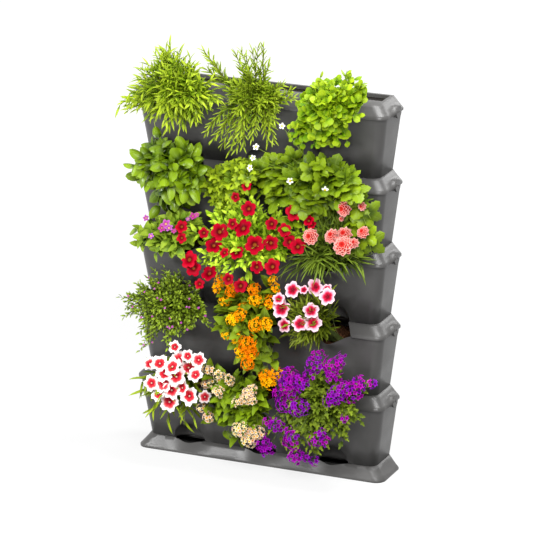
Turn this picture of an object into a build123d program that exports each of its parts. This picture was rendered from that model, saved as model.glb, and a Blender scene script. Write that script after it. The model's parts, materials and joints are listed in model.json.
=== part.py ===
from build123d import *
import math
import os

# A modular upright planter: a water tray carries a stack of tapered troughs. Each trough wears a
# sloping collar, and the next trough stands on that collar. Plants grow out of three pockets in
# the front of every trough. Millimetres, +Z up, +Y to the back, origin on the floor under the tray.

# Stack
tier_count = 5
tier_pitch = 187.0          # from one trough's seat to the next
base_height = 35.0          # from the floor to the lowest trough's seat
wall = 3.0                  # thickness of every moulded wall, floor and ledge

# Trough
foot_width = 622.0
foot_depth = 105.0
side_taper = 22.0           # how far each end wall leans out between the foot and the rim
front_taper = 19.0          # how far the front wall leans out between the foot and the rim
front_radius = 26.0
back_radius = 8.0
drain_radius = 4.0
drain_count = 5
drain_pitch = 110.0

# Pockets in the front of a trough
pocket_count = 3
end_wall = 38.0             # plain wall outside the first and last pocket's share of the front
post_width = 62.0           # plain wall between two bulges
bulge_reach = 26.0          # how far a pocket's lip stands in front of the plain wall
bulge_height = 80.0         # the bulge fades into the wall this far below the rim
dip_depth = 26.0            # how far the lip drops below the rim
dip_margin = 20.0           # the dip is this much wider than the bulge on each side
arch_half = 43.0            # half width and height of the hollow in the foot, above the pocket below
arch_depth = 30.0

# Collar
collar_rise = 26.0          # from the trough's rim to the ledge that carries the next trough
ledge_step = 1.5            # ledge that shows around the foot standing on it
lip_drop = 6.0              # the collar's lip reaches this far down outside the trough's rim
lip_wall = 3.5
lip_gap = 0.5
lip_band = 4.0              # height of the lip's upper bevel
cut_margin_top = 2.0        # a collar's pocket cut is this much narrower than the arch at the ledge
cut_margin_rim = 9.0        # and this much narrower than the bulge at the rim
front_ledge = 40.0          # depth of the ledge behind the front wall
side_ledge = 8.0            # width of the ledge along the ends and the back
bridge_width = 8.0          # the strip of ledge that is left behind a pocket cut
socket_height = 9.0         # wall around the ledge's opening, and the rib of the foot inside it
socket_gap = 1.0

# Ears on the collar's ends
ear_radius = 16.0
ear_reach = 2.0             # the ear's outer face past the lip
ear_drop = 3.0              # the ear's centre below the trough's rim
ear_from_back = 40.0
ear_hole_radius = 2.75

# Water tray
base_flare = 26.0           # how far the tray spreads past the foot at each end
base_front_flare = 17.0
base_lip = 5.0              # upright edge on the floor
base_bulge = 12.0           # the tray's lip stands forward under each pocket
base_dip = 6.0

# Soil
soil_gap = 0.3
soil_below_lip = 6.0        # soil surface under a pocket's lip
soil_back_rise = 14.0       # the surface climbs this much to the back wall

# Plants
root_radius = 15.0
root_depth = 40.0           # root ball below the soil's surface at the front
root_from_front = 30.0      # root's centre behind the plain front wall, at the rim
stem_radius = 14.0
lip_clearance = 2.0         # between a stem and the lip that it hangs over
crown_gap = 3.0             # from a crown to the walls, and between crowns
mass_turn = 23.0            # degrees from one mass's poles to the next one's
mass_sides = 8
mass_levels = [(-0.95, 0.31), (-0.6, 0.8), (0.0, 1.0), (0.6, 0.8), (0.95, 0.31)]  # height, radius

# Values that follow
trough_height = tier_pitch - collar_rise
mouth_width = foot_width + 2 * side_taper
mouth_depth = foot_depth + front_taper
pocket_pitch = (mouth_width - 2 * end_wall) / pocket_count
bulge_half = (pocket_pitch - post_width) / 2
dip_half = bulge_half + dip_margin
base_width = foot_width + 2 * base_flare
base_depth = foot_depth + base_front_flare
back_y = base_depth / 2
rim_front_y = back_y - mouth_depth
foot_front_y = back_y - foot_depth
lip_width = mouth_width + 2 * (lip_wall + lip_gap)
lip_depth = mouth_depth + lip_wall + lip_gap
ear_face = lip_width / 2 + ear_reach
arch_radius = (arch_half ** 2 + arch_depth ** 2) / (2 * arch_depth)
arch_offset = arch_radius - arch_depth
opening_half = foot_width / 2 - side_ledge
opening_front_y = foot_front_y + front_ledge
opening_back_y = back_y - side_ledge
least_radius = 1.0
pocket_places = [(i - (pocket_count - 1) / 2) * pocket_pitch for i in range(pocket_count)]
far = 2 * foot_width        # longer than anything that a cut has to pass

# Each plant's crown, tier by tier from the bottom and left to right: leaf masses given as
# sideways, forward, up and radius, about the pocket's rim. They are in parts of a pocket's cell,
# which is crown_parts wide, so that the crowns keep clear of each other when a pitch changes.
crown_parts = 186
crowns = [
    [("white_dianthus", [(-10, 35, 25, 62), (-60, 35, 30, 40), (40, 35, 20, 45), (0, 25, -50, 42)]),
     ("cream_lantana", [(-25, 35, -20, 55), (-58, 35, 5, 40), (25, 35, 8, 45), (-10, 35, -75, 50)]),
     ("purple_verbena", [(0, 35, 30, 78), (-62, 35, 50, 46), (75, 35, 20, 55), (0, 35, 100, 50),
                         (-25, 40, -60, 55), (55, 40, -62, 52)])],
    [("cuphea", [(-15, 35, 35, 75), (-80, 35, 20, 50), (48, 35, 30, 52), (-20, 35, 100, 46),
                 (-10, 35, -42, 50)]),
     ("orange_lantana", [(0, 35, 5, 58), (38, 35, 25, 45), (-35, 35, -20, 45), (0, 38, -75, 50)]),
     ("pink_dianthus", [(-20, 38, 50, 56), (-50, 36, 92, 40), (32, 32, 28, 47), (22, 40, 95, 46)])],
    [("pansy", [(-10, 30, 22, 48), (-60, 30, 18, 38), (34, 30, 12, 40)]),
     ("red_petunia", [(0, 38, 20, 78), (-74, 38, -14, 44), (68, 38, 0, 50), (0, 38, 84, 42),
                      (-10, 42, -65, 46)]),
     ("carnation", [(20, 35, 40, 58), (72, 35, 48, 45), (-20, 30, 60, 42), (0, 32, 8, 46)])],
    [("basil", [(-10, 35, 20, 75), (-78, 35, 30, 50), (52, 35, 2, 54), (-15, 35, 74, 48),
                (0, 35, -60, 50)]),
     ("parsley", [(-20, 30, -5, 50), (12, 30, 20, 48)]),
     ("strawberry", [(0, 38, 35, 74), (-62, 38, 45, 46), (62, 38, 20, 54), (-30, 42, -35, 46),
                     (10, 38, 72, 42)])],
    [("tarragon", [(-15, 32, 50, 75), (-78, 35, 22, 50), (50, 30, 30, 50), (-30, 30, 105, 50),
                   (-10, 30, -18, 46)]),
     ("rosemary", [(0, 30, 40, 60), (22, 30, 115, 50), (-40, 30, 95, 42), (-10, 32, -30, 52),
                   (-22, 34, -72, 36)]),
     ("oregano", [(18, 32, 30, 70), (62, 32, 78, 52), (-22, 30, 68, 48), (58, 32, -8, 50),
                  (0, 30, -30, 42)])],
]


def plan(width, depth, z, bulge=0.0, grow=0.0):
    """Closed outline at one height: straight back, round front corners, a bulge at each pocket."""
    half = width / 2 + grow
    back = back_y + grow
    front = back_y - depth - grow
    front_r = max(front_radius + grow, least_radius)
    back_r = max(back_radius + grow, least_radius)
    slant = math.sqrt(0.5)
    left_in = -half + front_r
    right_in = half - front_r
    edges = [
        Line((-half, back - back_r), (-half, front + front_r)),
        ThreePointArc((-half, front + front_r),
                      (left_in - front_r * slant, front + front_r * (1 - slant)),
                      (left_in, front)),
    ]
    reached = left_in
    for place in pocket_places:
        edges.append(Line((reached, front), (place - bulge_half, front)))
        edges.append(Spline((place - bulge_half, front), (place, front - bulge),
                            (place + bulge_half, front), tangents=[(1, 0), (1, 0)]))
        reached = place + bulge_half
    edges += [
        Line((reached, front), (right_in, front)),
        ThreePointArc((right_in, front),
                      (right_in + front_r * slant, front + front_r * (1 - slant)),
                      (half, front + front_r)),
        Line((half, front + front_r), (half, back - back_r)),
        ThreePointArc((half, back - back_r),
                      (half - back_r * (1 - slant), back - back_r * (1 - slant)),
                      (half - back_r, back)),
        Line((half - back_r, back), (back_r - half, back)),
        ThreePointArc((back_r - half, back),
                      (-half + back_r * (1 - slant), back - back_r * (1 - slant)),
                      (-half, back - back_r)),
    ]
    return Pos(0, 0, z) * Wire(edges)


def stack_of(sections, grow=0.0):
    """Solid through outlines given as width, depth, height and bulge."""
    outlines = [plan(width, depth, z, bulge, grow) for width, depth, z, bulge in sections]
    return Solid.make_loft(outlines, ruled=True)


def block(x0, x1, y0, y1, z0, z1):
    """Solid box between two corners."""
    centre = Pos((x0 + x1) / 2, (y0 + y1) / 2, (z0 + z1) / 2)
    return centre * Box(x1 - x0, y1 - y0, z1 - z0)


def frame_ring(outer_grow, z0, z1):
    """Upright wall around the ledge's opening, its outer face moved out by outer_grow."""
    sides = (opening_half + outer_grow, opening_front_y - outer_grow, opening_back_y + outer_grow)
    outer = block(-sides[0], sides[0], sides[1], sides[2], z0, z1)
    inner = block(wall - sides[0], sides[0] - wall, sides[1] + wall, sides[2] - wall, z0, z1)
    return outer - inner


def front_cut(half_low, half_high, z0, z1, back):
    """Tapered cut from the front as far as y = back, at every pocket."""
    cuts = []
    for place in pocket_places:
        face = make_face(Polyline((place - half_low, z0), (place + half_low, z0),
                                  (place + half_high, z1), (place - half_high, z1), close=True))
        cuts.append(Pos(0, back, 0) * extrude(Plane.XZ * face, far))
    return cuts


def dip_cut(half, depth, rim, back):
    """Rounded dip in a front edge at every pocket, cut from the front as far as y = back."""
    cuts = []
    for place in pocket_places:
        edges = [
            Spline((place - half, rim), (place, rim - depth), (place + half, rim),
                   tangents=[(1, 0), (1, 0)]),
            Line((place + half, rim), (place + half, rim + far)),
            Line((place + half, rim + far), (place - half, rim + far)),
            Line((place - half, rim + far), (place - half, rim)),
        ]
        cuts.append(Pos(0, back, 0) * extrude(Plane.XZ * make_face(edges), far))
    return cuts


def arches(extra):
    """Ball that hollows the foot above each lower pocket, grown by extra."""
    return [Pos(place, foot_front_y - arch_offset, 0) * Sphere(arch_radius + extra)
            for place in pocket_places]


def wall_sections(low, high):
    """Outlines of a trough between two heights above its foot, with the bulge below the rim."""
    start = trough_height - bulge_height
    swelling = bulge_height - dip_depth
    rises = [low, start] + [start + swelling * share for share in (0.3, 0.55, 0.78, 1.0)] + [high]
    sections = []
    for rise in rises:
        lean = rise / trough_height
        swell = min(max(rise - start, 0.0) / swelling, 1.0)
        sections.append((foot_width + 2 * side_taper * lean, foot_depth + front_taper * lean,
                         rise, bulge_reach * swell ** 2))
    return sections


def ear_axis(side):
    """Place of an ear's centre line, seen from the trough's foot."""
    return Pos(side * ear_face, back_y - ear_from_back, trough_height - ear_drop) * Rot(0, 90, 0)


def ear_holes():
    """Holes for a link pin through both ears and the trough's ends."""
    length = 4 * side_taper
    return [ear_axis(side) * Cylinder(ear_hole_radius, length) for side in (-1, 1)]


def make_trough():
    """Tapered box with three pockets, foot hollows, drain holes and a rib under its floor."""
    body = stack_of(wall_sections(0.0, trough_height))
    body -= arches(0.0)
    hollow = stack_of(wall_sections(wall, trough_height), grow=-wall)
    hollow -= arches(wall)
    body -= hollow
    body -= dip_cut(dip_half, dip_depth, trough_height, rim_front_y + wall + lip_gap)
    body += frame_ring(-socket_gap, -socket_height, 0.0)
    drain_y = (opening_front_y + opening_back_y) / 2
    for i in range(drain_count):
        place = (i - (drain_count - 1) / 2) * drain_pitch
        body -= Pos(place, drain_y, 0) * Cylinder(drain_radius, 4 * wall)
    body -= ear_holes()
    return body


def ledge_opening(top, height):
    """Space through the ledge inside the socket wall."""
    return block(-opening_half, opening_half, opening_front_y, opening_back_y, top - height, top)


def make_collar():
    """Sloping cover for a trough, with a lip, a ledge and socket on top, and two ears."""
    rim = trough_height
    top = rim + collar_rise
    top_width = foot_width + 2 * ledge_step
    top_depth = foot_depth + ledge_step
    sections = [(lip_width, lip_depth, rim - lip_drop, 0.0), (lip_width, lip_depth, rim - lip_gap, 0.0)]
    slope = [(lip_band / collar_rise, 0.0), (0.45, 0.38), (0.75, 0.72), (1.0, 1.0)]
    skirt = []
    for rise, shift in slope:
        skirt.append((mouth_width + (top_width - mouth_width) * shift,
                      mouth_depth + (top_depth - mouth_depth) * shift,
                      rim + collar_rise * rise, 0.0))
    body = stack_of(sections + skirt)
    for side in (-1, 1):
        length = ear_face - opening_half
        body += ear_axis(side) * Pos(0, 0, -side * length / 2) * Cylinder(ear_radius, length)
    hollow_low = (mouth_width, mouth_depth, rim, 0.0)
    ceiling = stack_of([hollow_low] + skirt, grow=-wall)
    ceiling -= block(-far, far, -far, far, top - wall, top + far)
    body -= ceiling
    body += frame_ring(wall, top - socket_height, top - wall)
    body -= ledge_opening(top, 2 * socket_height)
    bridge_front = opening_front_y - bridge_width
    body -= front_cut(bulge_half - cut_margin_rim, arch_half - cut_margin_top,
                      rim - lip_drop, top, bridge_front)
    body -= stack_of(wall_sections(0.0, rim), grow=lip_gap)
    ear_bottom = rim - ear_drop - ear_radius - lip_gap
    body -= stack_of([(mouth_width, mouth_depth, ear_bottom, 0.0), (mouth_width, mouth_depth, rim, 0.0)],
                     grow=lip_gap)
    body -= ear_holes()
    return body


def make_base():
    """Flared water tray with a ledge for the lowest trough and a dip under each pocket."""
    top_width = foot_width + 2 * ledge_step
    top_depth = foot_depth + ledge_step
    profile = [(0.0, 0.0), (base_lip / base_height, 0.0), (0.4, 0.33), (0.7, 0.68), (1.0, 1.0)]
    sections = []
    for rise, shift in profile:
        sections.append((base_width + (top_width - base_width) * shift,
                         base_depth + (top_depth - base_depth) * shift,
                         base_height * rise, base_bulge * shift))
    body = stack_of(sections)
    hollow = stack_of(sections, grow=-wall)
    hollow -= block(-far, far, -far, far, base_height - wall, base_height + far)
    hollow -= block(-far, far, -far, far, -far, wall)
    body -= hollow
    body += frame_ring(wall, base_height - socket_height, base_height - wall)
    body -= ledge_opening(base_height, socket_height)
    mouth_half = arch_half - cut_margin_top
    for place in pocket_places:
        mouth = stack_of(sections, grow=-wall)
        mouth &= block(place - mouth_half, place + mouth_half, -far, opening_front_y - bridge_width,
                       base_height - socket_height, base_height)
        body -= mouth
    body -= dip_cut(mouth_half + cut_margin_top, base_dip, base_height, foot_front_y)
    return body


def make_soil():
    """Potting soil that fills a trough, with a surface that climbs to the back and a root hole each."""
    body = stack_of(wall_sections(wall, trough_height), grow=-wall - soil_gap)
    body -= arches(wall + soil_gap)
    low = trough_height - dip_depth - soil_below_lip
    front = rim_front_y - bulge_reach
    face = make_face(Polyline((front, low), (back_y, low + soil_back_rise),
                              (back_y, far), (front, far), close=True))
    body -= Pos(-far / 2, 0, 0) * extrude(Plane.YZ * face, far)
    for place in pocket_places:
        hole = root_column(place, root_radius + soil_gap, trough_height)
        body -= hole
    return body


def root_column(place, radius, top):
    """Upright round column from the bottom of a root ball to a height above the foot."""
    bottom = trough_height - dip_depth - soil_below_lip - root_depth
    middle = Pos(place, rim_front_y + root_from_front, (bottom + top) / 2)
    return middle * Cylinder(radius, top - bottom)


def leaf_mass(radius):
    """Rounded mass of leaves with flat facets."""
    rings = []
    for rise, share in mass_levels:
        ring = []
        for i in range(mass_sides):
            angle = 2 * math.pi * i / mass_sides
            ring.append((radius * share * math.cos(angle), radius * share * math.sin(angle),
                         radius * rise))
        rings.append(ring)
    facets = [Face(Wire.make_polygon(rings[0][::-1])), Face(Wire.make_polygon(rings[-1]))]
    for low, high in zip(rings, rings[1:]):
        for i in range(mass_sides):
            j = (i + 1) % mass_sides
            facets.append(Face(Wire.make_polygon([low[i], low[j], high[j], high[i]])))
    return Solid(Shell(facets))


def make_plant(place, masses):
    """Root ball, a stem over the pocket's lip and a crown of leaf masses in front of the walls."""
    stem_bottom = trough_height - dip_depth + lip_clearance
    stem_z = stem_bottom + stem_radius
    lip_front = rim_front_y - bulge_reach - crown_gap
    collar_front = back_y - lip_depth - crown_gap
    part = (min(pocket_pitch, tier_pitch) - crown_gap) / crown_parts
    masses_mm = [[number * part for number in mass] for mass in masses]
    crown = Part()
    for i, (x, y, z, r) in enumerate(masses_mm):
        turn = Rot(mass_turn * (i + 1), mass_turn * (i + 2), 0)
        crown += Pos(place + x, lip_front - y, trough_height + z) * turn * leaf_mass(r)
    crown -= block(-far, far, collar_front, far, trough_height + crown_gap, far)
    crown -= block(-far, far, lip_front, far, -far, trough_height + crown_gap)
    stem_back = rim_front_y + root_from_front
    stem_length = stem_back - lip_front + masses_mm[0][1]
    stem = Rot(90, 0, 0) * Cylinder(stem_radius, stem_length)
    root = root_column(place, root_radius, stem_z)
    return root + Pos(place, stem_back - stem_length / 2, stem_z) * stem + crown


def save(shape, name):
    """Write one piece as its own file."""
    export_step(shape, os.path.join("parts", name + ".step"))


os.makedirs("parts", exist_ok=True)
save(make_base(), "base_tray")
trough = make_trough()
collar = make_collar()
soil = make_soil()
for tier in range(tier_count):
    seat = Pos(0, 0, base_height + tier * tier_pitch)
    number = str(tier + 1)
    save(seat * trough, "trough_" + number)
    save(seat * collar, "collar_" + number)
    save(seat * soil, "soil_" + number)
    for place, (name, masses) in zip(pocket_places, crowns[tier]):
        save(seat * make_plant(place, masses), name)
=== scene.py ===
"""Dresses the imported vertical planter: moulded plastic, potting soil and a plant in every pocket."""

import json
import logging
import math
import random
from dataclasses import dataclass, field
from enum import Enum
from typing import NamedTuple

import bmesh
import bpy
from bmesh.types import BMesh, BMLoop, BMVert
from bpy.types import Material, Mesh, Node, NodeSocket, NodeTree, Object
from mathutils import Matrix, Vector, noise
from mathutils.bvhtree import BVHTree

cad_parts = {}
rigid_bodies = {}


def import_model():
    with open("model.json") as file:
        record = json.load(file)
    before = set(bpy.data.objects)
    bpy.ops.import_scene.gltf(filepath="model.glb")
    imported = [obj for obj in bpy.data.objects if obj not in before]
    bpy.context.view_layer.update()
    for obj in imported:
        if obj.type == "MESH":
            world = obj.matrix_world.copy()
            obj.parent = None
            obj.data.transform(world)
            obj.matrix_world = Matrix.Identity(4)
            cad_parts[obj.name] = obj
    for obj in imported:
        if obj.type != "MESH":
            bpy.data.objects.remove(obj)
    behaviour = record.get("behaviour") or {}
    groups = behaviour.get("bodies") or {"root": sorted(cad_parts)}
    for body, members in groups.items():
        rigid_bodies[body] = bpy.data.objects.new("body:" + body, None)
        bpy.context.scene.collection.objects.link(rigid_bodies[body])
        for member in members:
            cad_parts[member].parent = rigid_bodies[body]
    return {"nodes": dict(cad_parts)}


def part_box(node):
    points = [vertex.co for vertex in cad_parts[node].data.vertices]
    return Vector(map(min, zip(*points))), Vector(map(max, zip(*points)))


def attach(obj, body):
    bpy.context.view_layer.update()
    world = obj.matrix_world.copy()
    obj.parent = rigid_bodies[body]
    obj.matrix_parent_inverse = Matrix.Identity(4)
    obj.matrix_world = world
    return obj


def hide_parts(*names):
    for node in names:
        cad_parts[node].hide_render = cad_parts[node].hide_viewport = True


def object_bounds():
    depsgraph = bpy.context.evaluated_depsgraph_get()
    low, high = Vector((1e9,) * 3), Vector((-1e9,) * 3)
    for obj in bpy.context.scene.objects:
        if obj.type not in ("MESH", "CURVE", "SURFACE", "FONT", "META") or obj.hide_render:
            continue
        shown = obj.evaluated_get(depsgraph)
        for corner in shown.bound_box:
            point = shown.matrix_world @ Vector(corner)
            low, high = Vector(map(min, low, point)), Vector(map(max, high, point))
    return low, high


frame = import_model()
CAD_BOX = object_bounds()

log = logging.getLogger("planter")

Colour = tuple[float, float, float]
Point = tuple[float, float, float]
Pair = tuple[float, float]
UP = Vector((0.0, 0.0, 1.0))
FRONT = Vector((0.0, -1.0, 0.0))
WHITE = (1.0, 1.0, 1.0)
GOLDEN_ANGLE = math.radians(137.508)
TIERS = 5                   # number of troughs
SOLID_WELD = 0.00002        # distance at which the corners of a copied solid join, in metres
SHEET_WELD = 0.002          # the same for a leaf's or petal's collapsed corners, in its own units
SHEET_SLIVER = 0.0005       # least edge of a leaf or petal, in its own units
LENGTH_FLOOR = 1e-6         # keeps a division from zero
CROSS_FLOOR = 1e-4          # length under which a cross product gives no direction
LEAF_CREASE = 55.0          # greatest angle that is shaded smooth on a plant, in degrees
STALK_TAPER = 0.55          # share of a stalk's radius that is lost at its tip
HEART_FLAT = 0.6            # height of a flower's heart against its radius
ACROSS_SCALE = 2.2          # makes a leaf's place across it about 1 at its edge
SIDE_VEIN_WIDTH = 0.16      # as a share of the veins' distance
RIB_WIDTH = 0.14            # as a share of the leaf's half width
ATLAS_NAME = "OFBake"
ATLAS_SIDE = 4              # the atlas is a square of tint cells, with its top row kept for stalks and hearts
ATLAS_EDGE = 0.06           # empty share along each cell's edge
STALK_CORNERS = ((0.3, 0.3), (0.7, 0.3), (0.7, 0.7), (0.3, 0.7))    # where a stalk's faces lie in their cell


def tone(red: int, green: int, blue: int) -> Colour:
    """Linear colour of an eight-bit screen colour."""
    shares = (red / 255, green / 255, blue / 255)
    return tuple(s / 12.92 if s <= 0.04045 else ((s + 0.055) / 1.055) ** 2.4 for s in shares)


def in_scene(name: str, data: bpy.types.ID) -> Object:
    """Put data into the scene as an object."""
    made = bpy.data.objects.new(name, data)
    bpy.context.scene.collection.objects.link(made)
    return made


def evaluated(holder: Object) -> Mesh:
    """Mesh of an object as its settings and modifiers make it."""
    bpy.context.view_layer.update()
    return bpy.data.meshes.new_from_object(holder.evaluated_get(bpy.context.evaluated_depsgraph_get()))


def mapped() -> BMesh:
    """Empty shape with the map that the finishes read."""
    bm = bmesh.new()
    bm.loops.layers.uv.new(ATLAS_NAME)
    return bm


def welded(node: str) -> BMesh:
    """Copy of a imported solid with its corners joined."""
    bm = bmesh.new()
    bm.from_mesh(frame["nodes"][node].data)
    bmesh.ops.remove_doubles(bm, verts=bm.verts, dist=SOLID_WELD)
    return bm


def kept(bm: BMesh, name: str) -> Mesh:
    """Turn a shape into a mesh and free it."""
    mesh = bpy.data.meshes.new(name)
    bm.to_mesh(mesh)
    bm.free()
    return mesh


def smooth_piece(bm: BMesh, name: str, material: Material, crease: float, body: str) -> Object:
    """Turn a shape into a smooth piece that rides on a body.

    Args:
        bm: The shape, freed here.
        name: The piece's name.
        material: Its finish.
        crease: Greatest angle that is shaded smooth, in degrees.
        body: The body that it rides on.

    Returns:
        The new piece.
    """
    for face in bm.faces:
        face.smooth = True
    mesh = kept(bm, name)
    mesh.set_sharp_from_angle(angle=math.radians(crease))
    mesh.materials.append(material)
    piece = in_scene(name, mesh)
    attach(piece, body)
    return piece


class Spot(NamedTuple):
    """A place in the picture, in pixels of its 540 by 540 frame, and the width of what is there."""

    px: float
    py: float
    width: float = 0.0


def at_px(*places: tuple[float, ...]) -> tuple[Spot, ...]:
    """Spots whose pixels, and widths where they are known, are given as plain numbers."""
    return tuple(Spot(*place) for place in places)


@dataclass(frozen=True)
class Viewpoint:
    """The camera that looks at the planter as the picture does.

    Attributes:
        frame_px: Width and height of the picture.
        sensor: Sensor width in millimetres.
        focal_px: Focal length in pixels of the picture.
        place: Where the camera stands, in metres.
        yaw: Degrees that it has gone round to the planter's right.
        pitch: Degrees that it looks down.
        roll: Degrees that the picture is turned.
        far: Greatest distance that it sees, in metres.
    """

    frame_px: int = 540
    sensor: float = 36.0
    focal_px: float = 3615.45
    place: Point = (3.41561, -7.89616, 3.25959)
    yaw: float = 23.3520
    pitch: float = 17.7861
    roll: float = 0.0928
    far: float = 100.0

    def matrix(self) -> Matrix:
        """Place and turn of the camera."""
        turn = Matrix.Rotation(math.radians(self.yaw), 4, "Z")
        tilt = Matrix.Rotation(math.radians(90.0 - self.pitch), 4, "X")
        roll = Matrix.Rotation(math.radians(self.roll), 4, "Z")
        return Matrix.Translation(self.place) @ turn @ tilt @ roll

    def ray(self, spot: Spot) -> tuple[Vector, Vector]:
        """Line of sight through a spot: the camera's place and the direction from it."""
        middle = self.frame_px / 2
        local = Vector(((spot.px - middle) / self.focal_px, (middle - spot.py) / self.focal_px, -1.0))
        turned = self.matrix().to_3x3() @ local
        return Vector(self.place), turned.normalized()

    def build(self) -> None:
        """Make the camera and use it for the scene."""
        data = bpy.data.cameras.new("view")
        data.sensor_width = self.sensor
        data.lens = self.focal_px * self.sensor / self.frame_px
        data.clip_end = self.far
        camera = in_scene("view", data)
        camera.matrix_world = self.matrix()
        bpy.context.scene.camera = camera


class NodeSheet:
    """Adds and joins the nodes of one tree.

    What goes into a node is a socket, a number or a colour. The short forms give back the socket with the result.
    """

    def __init__(self, tree: NodeTree) -> None:
        """Start from an empty tree."""
        self.tree = tree
        self.tree.nodes.clear()

    def add(self, kind: str, inputs: dict[str | int, object] | None = None, **settings: object) -> Node:
        """Add one node.

        Args:
            kind: The node's type.
            inputs: What goes into its sockets, by their names or numbers.
            settings: Properties to set on it.

        Returns:
            The new node.
        """
        node = self.tree.nodes.new(kind)
        for name, value in settings.items():
            setattr(node, name, value)
        for key, value in (inputs or {}).items():
            self.join(value, node.inputs[key])
        return node

    def join(self, value: object, into: NodeSocket) -> None:
        """Link a socket to another, or set a number or a colour on it."""
        if isinstance(value, NodeSocket):
            self.tree.links.new(value, into)
        elif isinstance(value, tuple):
            into.default_value = (*value, 1.0)
        else:
            into.default_value = value

    def math(self, operation: str, first: object, second: object = 0.0) -> NodeSocket:
        """Add a sum of two values."""
        return self.add("ShaderNodeMath", {0: first, 1: second}, operation=operation).outputs[0]

    def vector(self, operation: str, inputs: dict[str | int, object]) -> NodeSocket:
        """Add a sum of vectors whose result is a vector."""
        return self.add("ShaderNodeVectorMath", inputs, operation=operation).outputs["Vector"]

    def ease(self, value: NodeSocket, low: float, high: float, to_low: float = 0.0, to_high: float = 1.0) -> NodeSocket:
        """Map a value smoothly from one range to another."""
        ends = {"Value": value, "From Min": low, "From Max": high, "To Min": to_low, "To Max": to_high}
        return self.add("ShaderNodeMapRange", ends, interpolation_type="SMOOTHSTEP").outputs["Result"]

    def mix(self, share: NodeSocket, first: object, second: object) -> NodeSocket:
        """Mix two colours, with the second one's share."""
        return self.add("ShaderNodeMix", {"Factor": share, 6: first, 7: second}, data_type="RGBA").outputs[2]

    def ramp(self, value: NodeSocket, stops: tuple[tuple[float, Colour], ...]) -> NodeSocket:
        """Turn a value from 0 to 1 into a colour, by places and colours along the way."""
        node = self.add("ShaderNodeValToRGB", {"Fac": value})
        band = node.color_ramp
        while len(band.elements) < len(stops):
            band.elements.new(1.0)
        for element, (place, colour) in zip(band.elements, stops):
            element.position = place
            element.color = (*colour, 1.0)
        return node.outputs["Color"]

    def bump(self, height: NodeSocket, strength: float, depth: float) -> NodeSocket:
        """Turn a height into a normal, where a height of one stands for the depth in metres."""
        return self.add("ShaderNodeBump", {"Strength": strength, "Distance": depth, "Height": height}).outputs["Normal"]


class SharedGroups:
    """The shader node groups that several finishes use."""

    def __init__(self) -> None:
        """Build each group once."""
        self.atlas = self._atlas()
        self.grain = self._grain()

    @staticmethod
    def _new(name: str, inputs: tuple[str, ...], outputs: tuple[str, ...]) -> tuple[NodeSheet, Node, Node]:
        """Make an empty group with float sockets: the sheet of its nodes, its input node and its output node."""
        tree = bpy.data.node_groups.new(name, "ShaderNodeTree")
        for side, titles in (("INPUT", inputs), ("OUTPUT", outputs)):
            for title in titles:
                tree.interface.new_socket(title, in_out=side, socket_type="NodeSocketFloat")
        sheet = NodeSheet(tree)
        return sheet, sheet.add("NodeGroupInput"), sheet.add("NodeGroupOutput")

    def _atlas(self) -> NodeTree:
        """Group that reads a leaf's or petal's own map: tint, place along it, place across it, and masks."""
        sheet, entry, leave = self._new("leaf_map", ("Veins", "Slant"),
                                        ("Tint", "Along", "Across", "Vein", "Stalk", "Heart"))
        uv = sheet.add("ShaderNodeUVMap", uv_map=ATLAS_NAME).outputs["UV"]
        scaled = sheet.vector("SCALE", {0: uv, "Scale": ATLAS_SIDE})
        parts = sheet.add("ShaderNodeSeparateXYZ", {0: sheet.vector("FRACTION", {0: scaled})}).outputs
        cells = sheet.add("ShaderNodeSeparateXYZ", {0: sheet.vector("FLOOR", {0: scaled})}).outputs
        number = sheet.math("ADD", cells[0], sheet.math("MULTIPLY", cells[1], ATLAS_SIDE))
        off_rib = sheet.math("ABSOLUTE", sheet.math("SUBTRACT", parts[0], 0.5))
        across = sheet.math("MULTIPLY", off_rib, ACROSS_SCALE)
        along = sheet.ease(parts[1], ATLAS_EDGE, 1.0 - ATLAS_EDGE)
        slanted = sheet.math("SUBTRACT", along, sheet.math("MULTIPLY", across, entry.outputs["Slant"]))
        wave = sheet.math("PINGPONG", sheet.math("MULTIPLY", slanted, entry.outputs["Veins"]), 0.5)
        side_vein = sheet.ease(wave, 0.0, SIDE_VEIN_WIDTH, 1.0, 0.0)
        rib = sheet.ease(across, 0.0, RIB_WIDTH, 1.0, 0.0)
        top_row = sheet.math("GREATER_THAN", cells[1], ATLAS_SIDE - 1.5)
        heart = sheet.math("MULTIPLY", top_row, sheet.math("GREATER_THAN", cells[0], ATLAS_SIDE / 2 - 0.5))
        results = {
            "Tint": sheet.math("DIVIDE", number, ATLAS_SIDE * (ATLAS_SIDE - 1) - 1),
            "Along": along,
            "Across": across,
            "Vein": sheet.math("MAXIMUM", side_vein, rib),
            "Stalk": sheet.math("SUBTRACT", top_row, heart),
            "Heart": heart,
        }
        for title, result in results.items():
            sheet.join(result, leave.inputs[title])
        return sheet.tree

    def _grain(self) -> NodeTree:
        """Group with a fine moulded grain and slow patches, read at the piece's own place."""
        sheet, entry, leave = self._new("moulded_grain", ("Fine", "Slow"), ("Grain", "Patch"))
        place = sheet.add("ShaderNodeTexCoord").outputs["Object"]
        for name, detail, out in (("Fine", 3.0, "Grain"), ("Slow", 5.0, "Patch")):
            cloud = sheet.add("ShaderNodeTexNoise", {"Detail": detail, "Vector": place, "Scale": entry.outputs[name]})
            sheet.join(cloud.outputs["Fac"], leave.inputs[out])
        return sheet.tree


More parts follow.
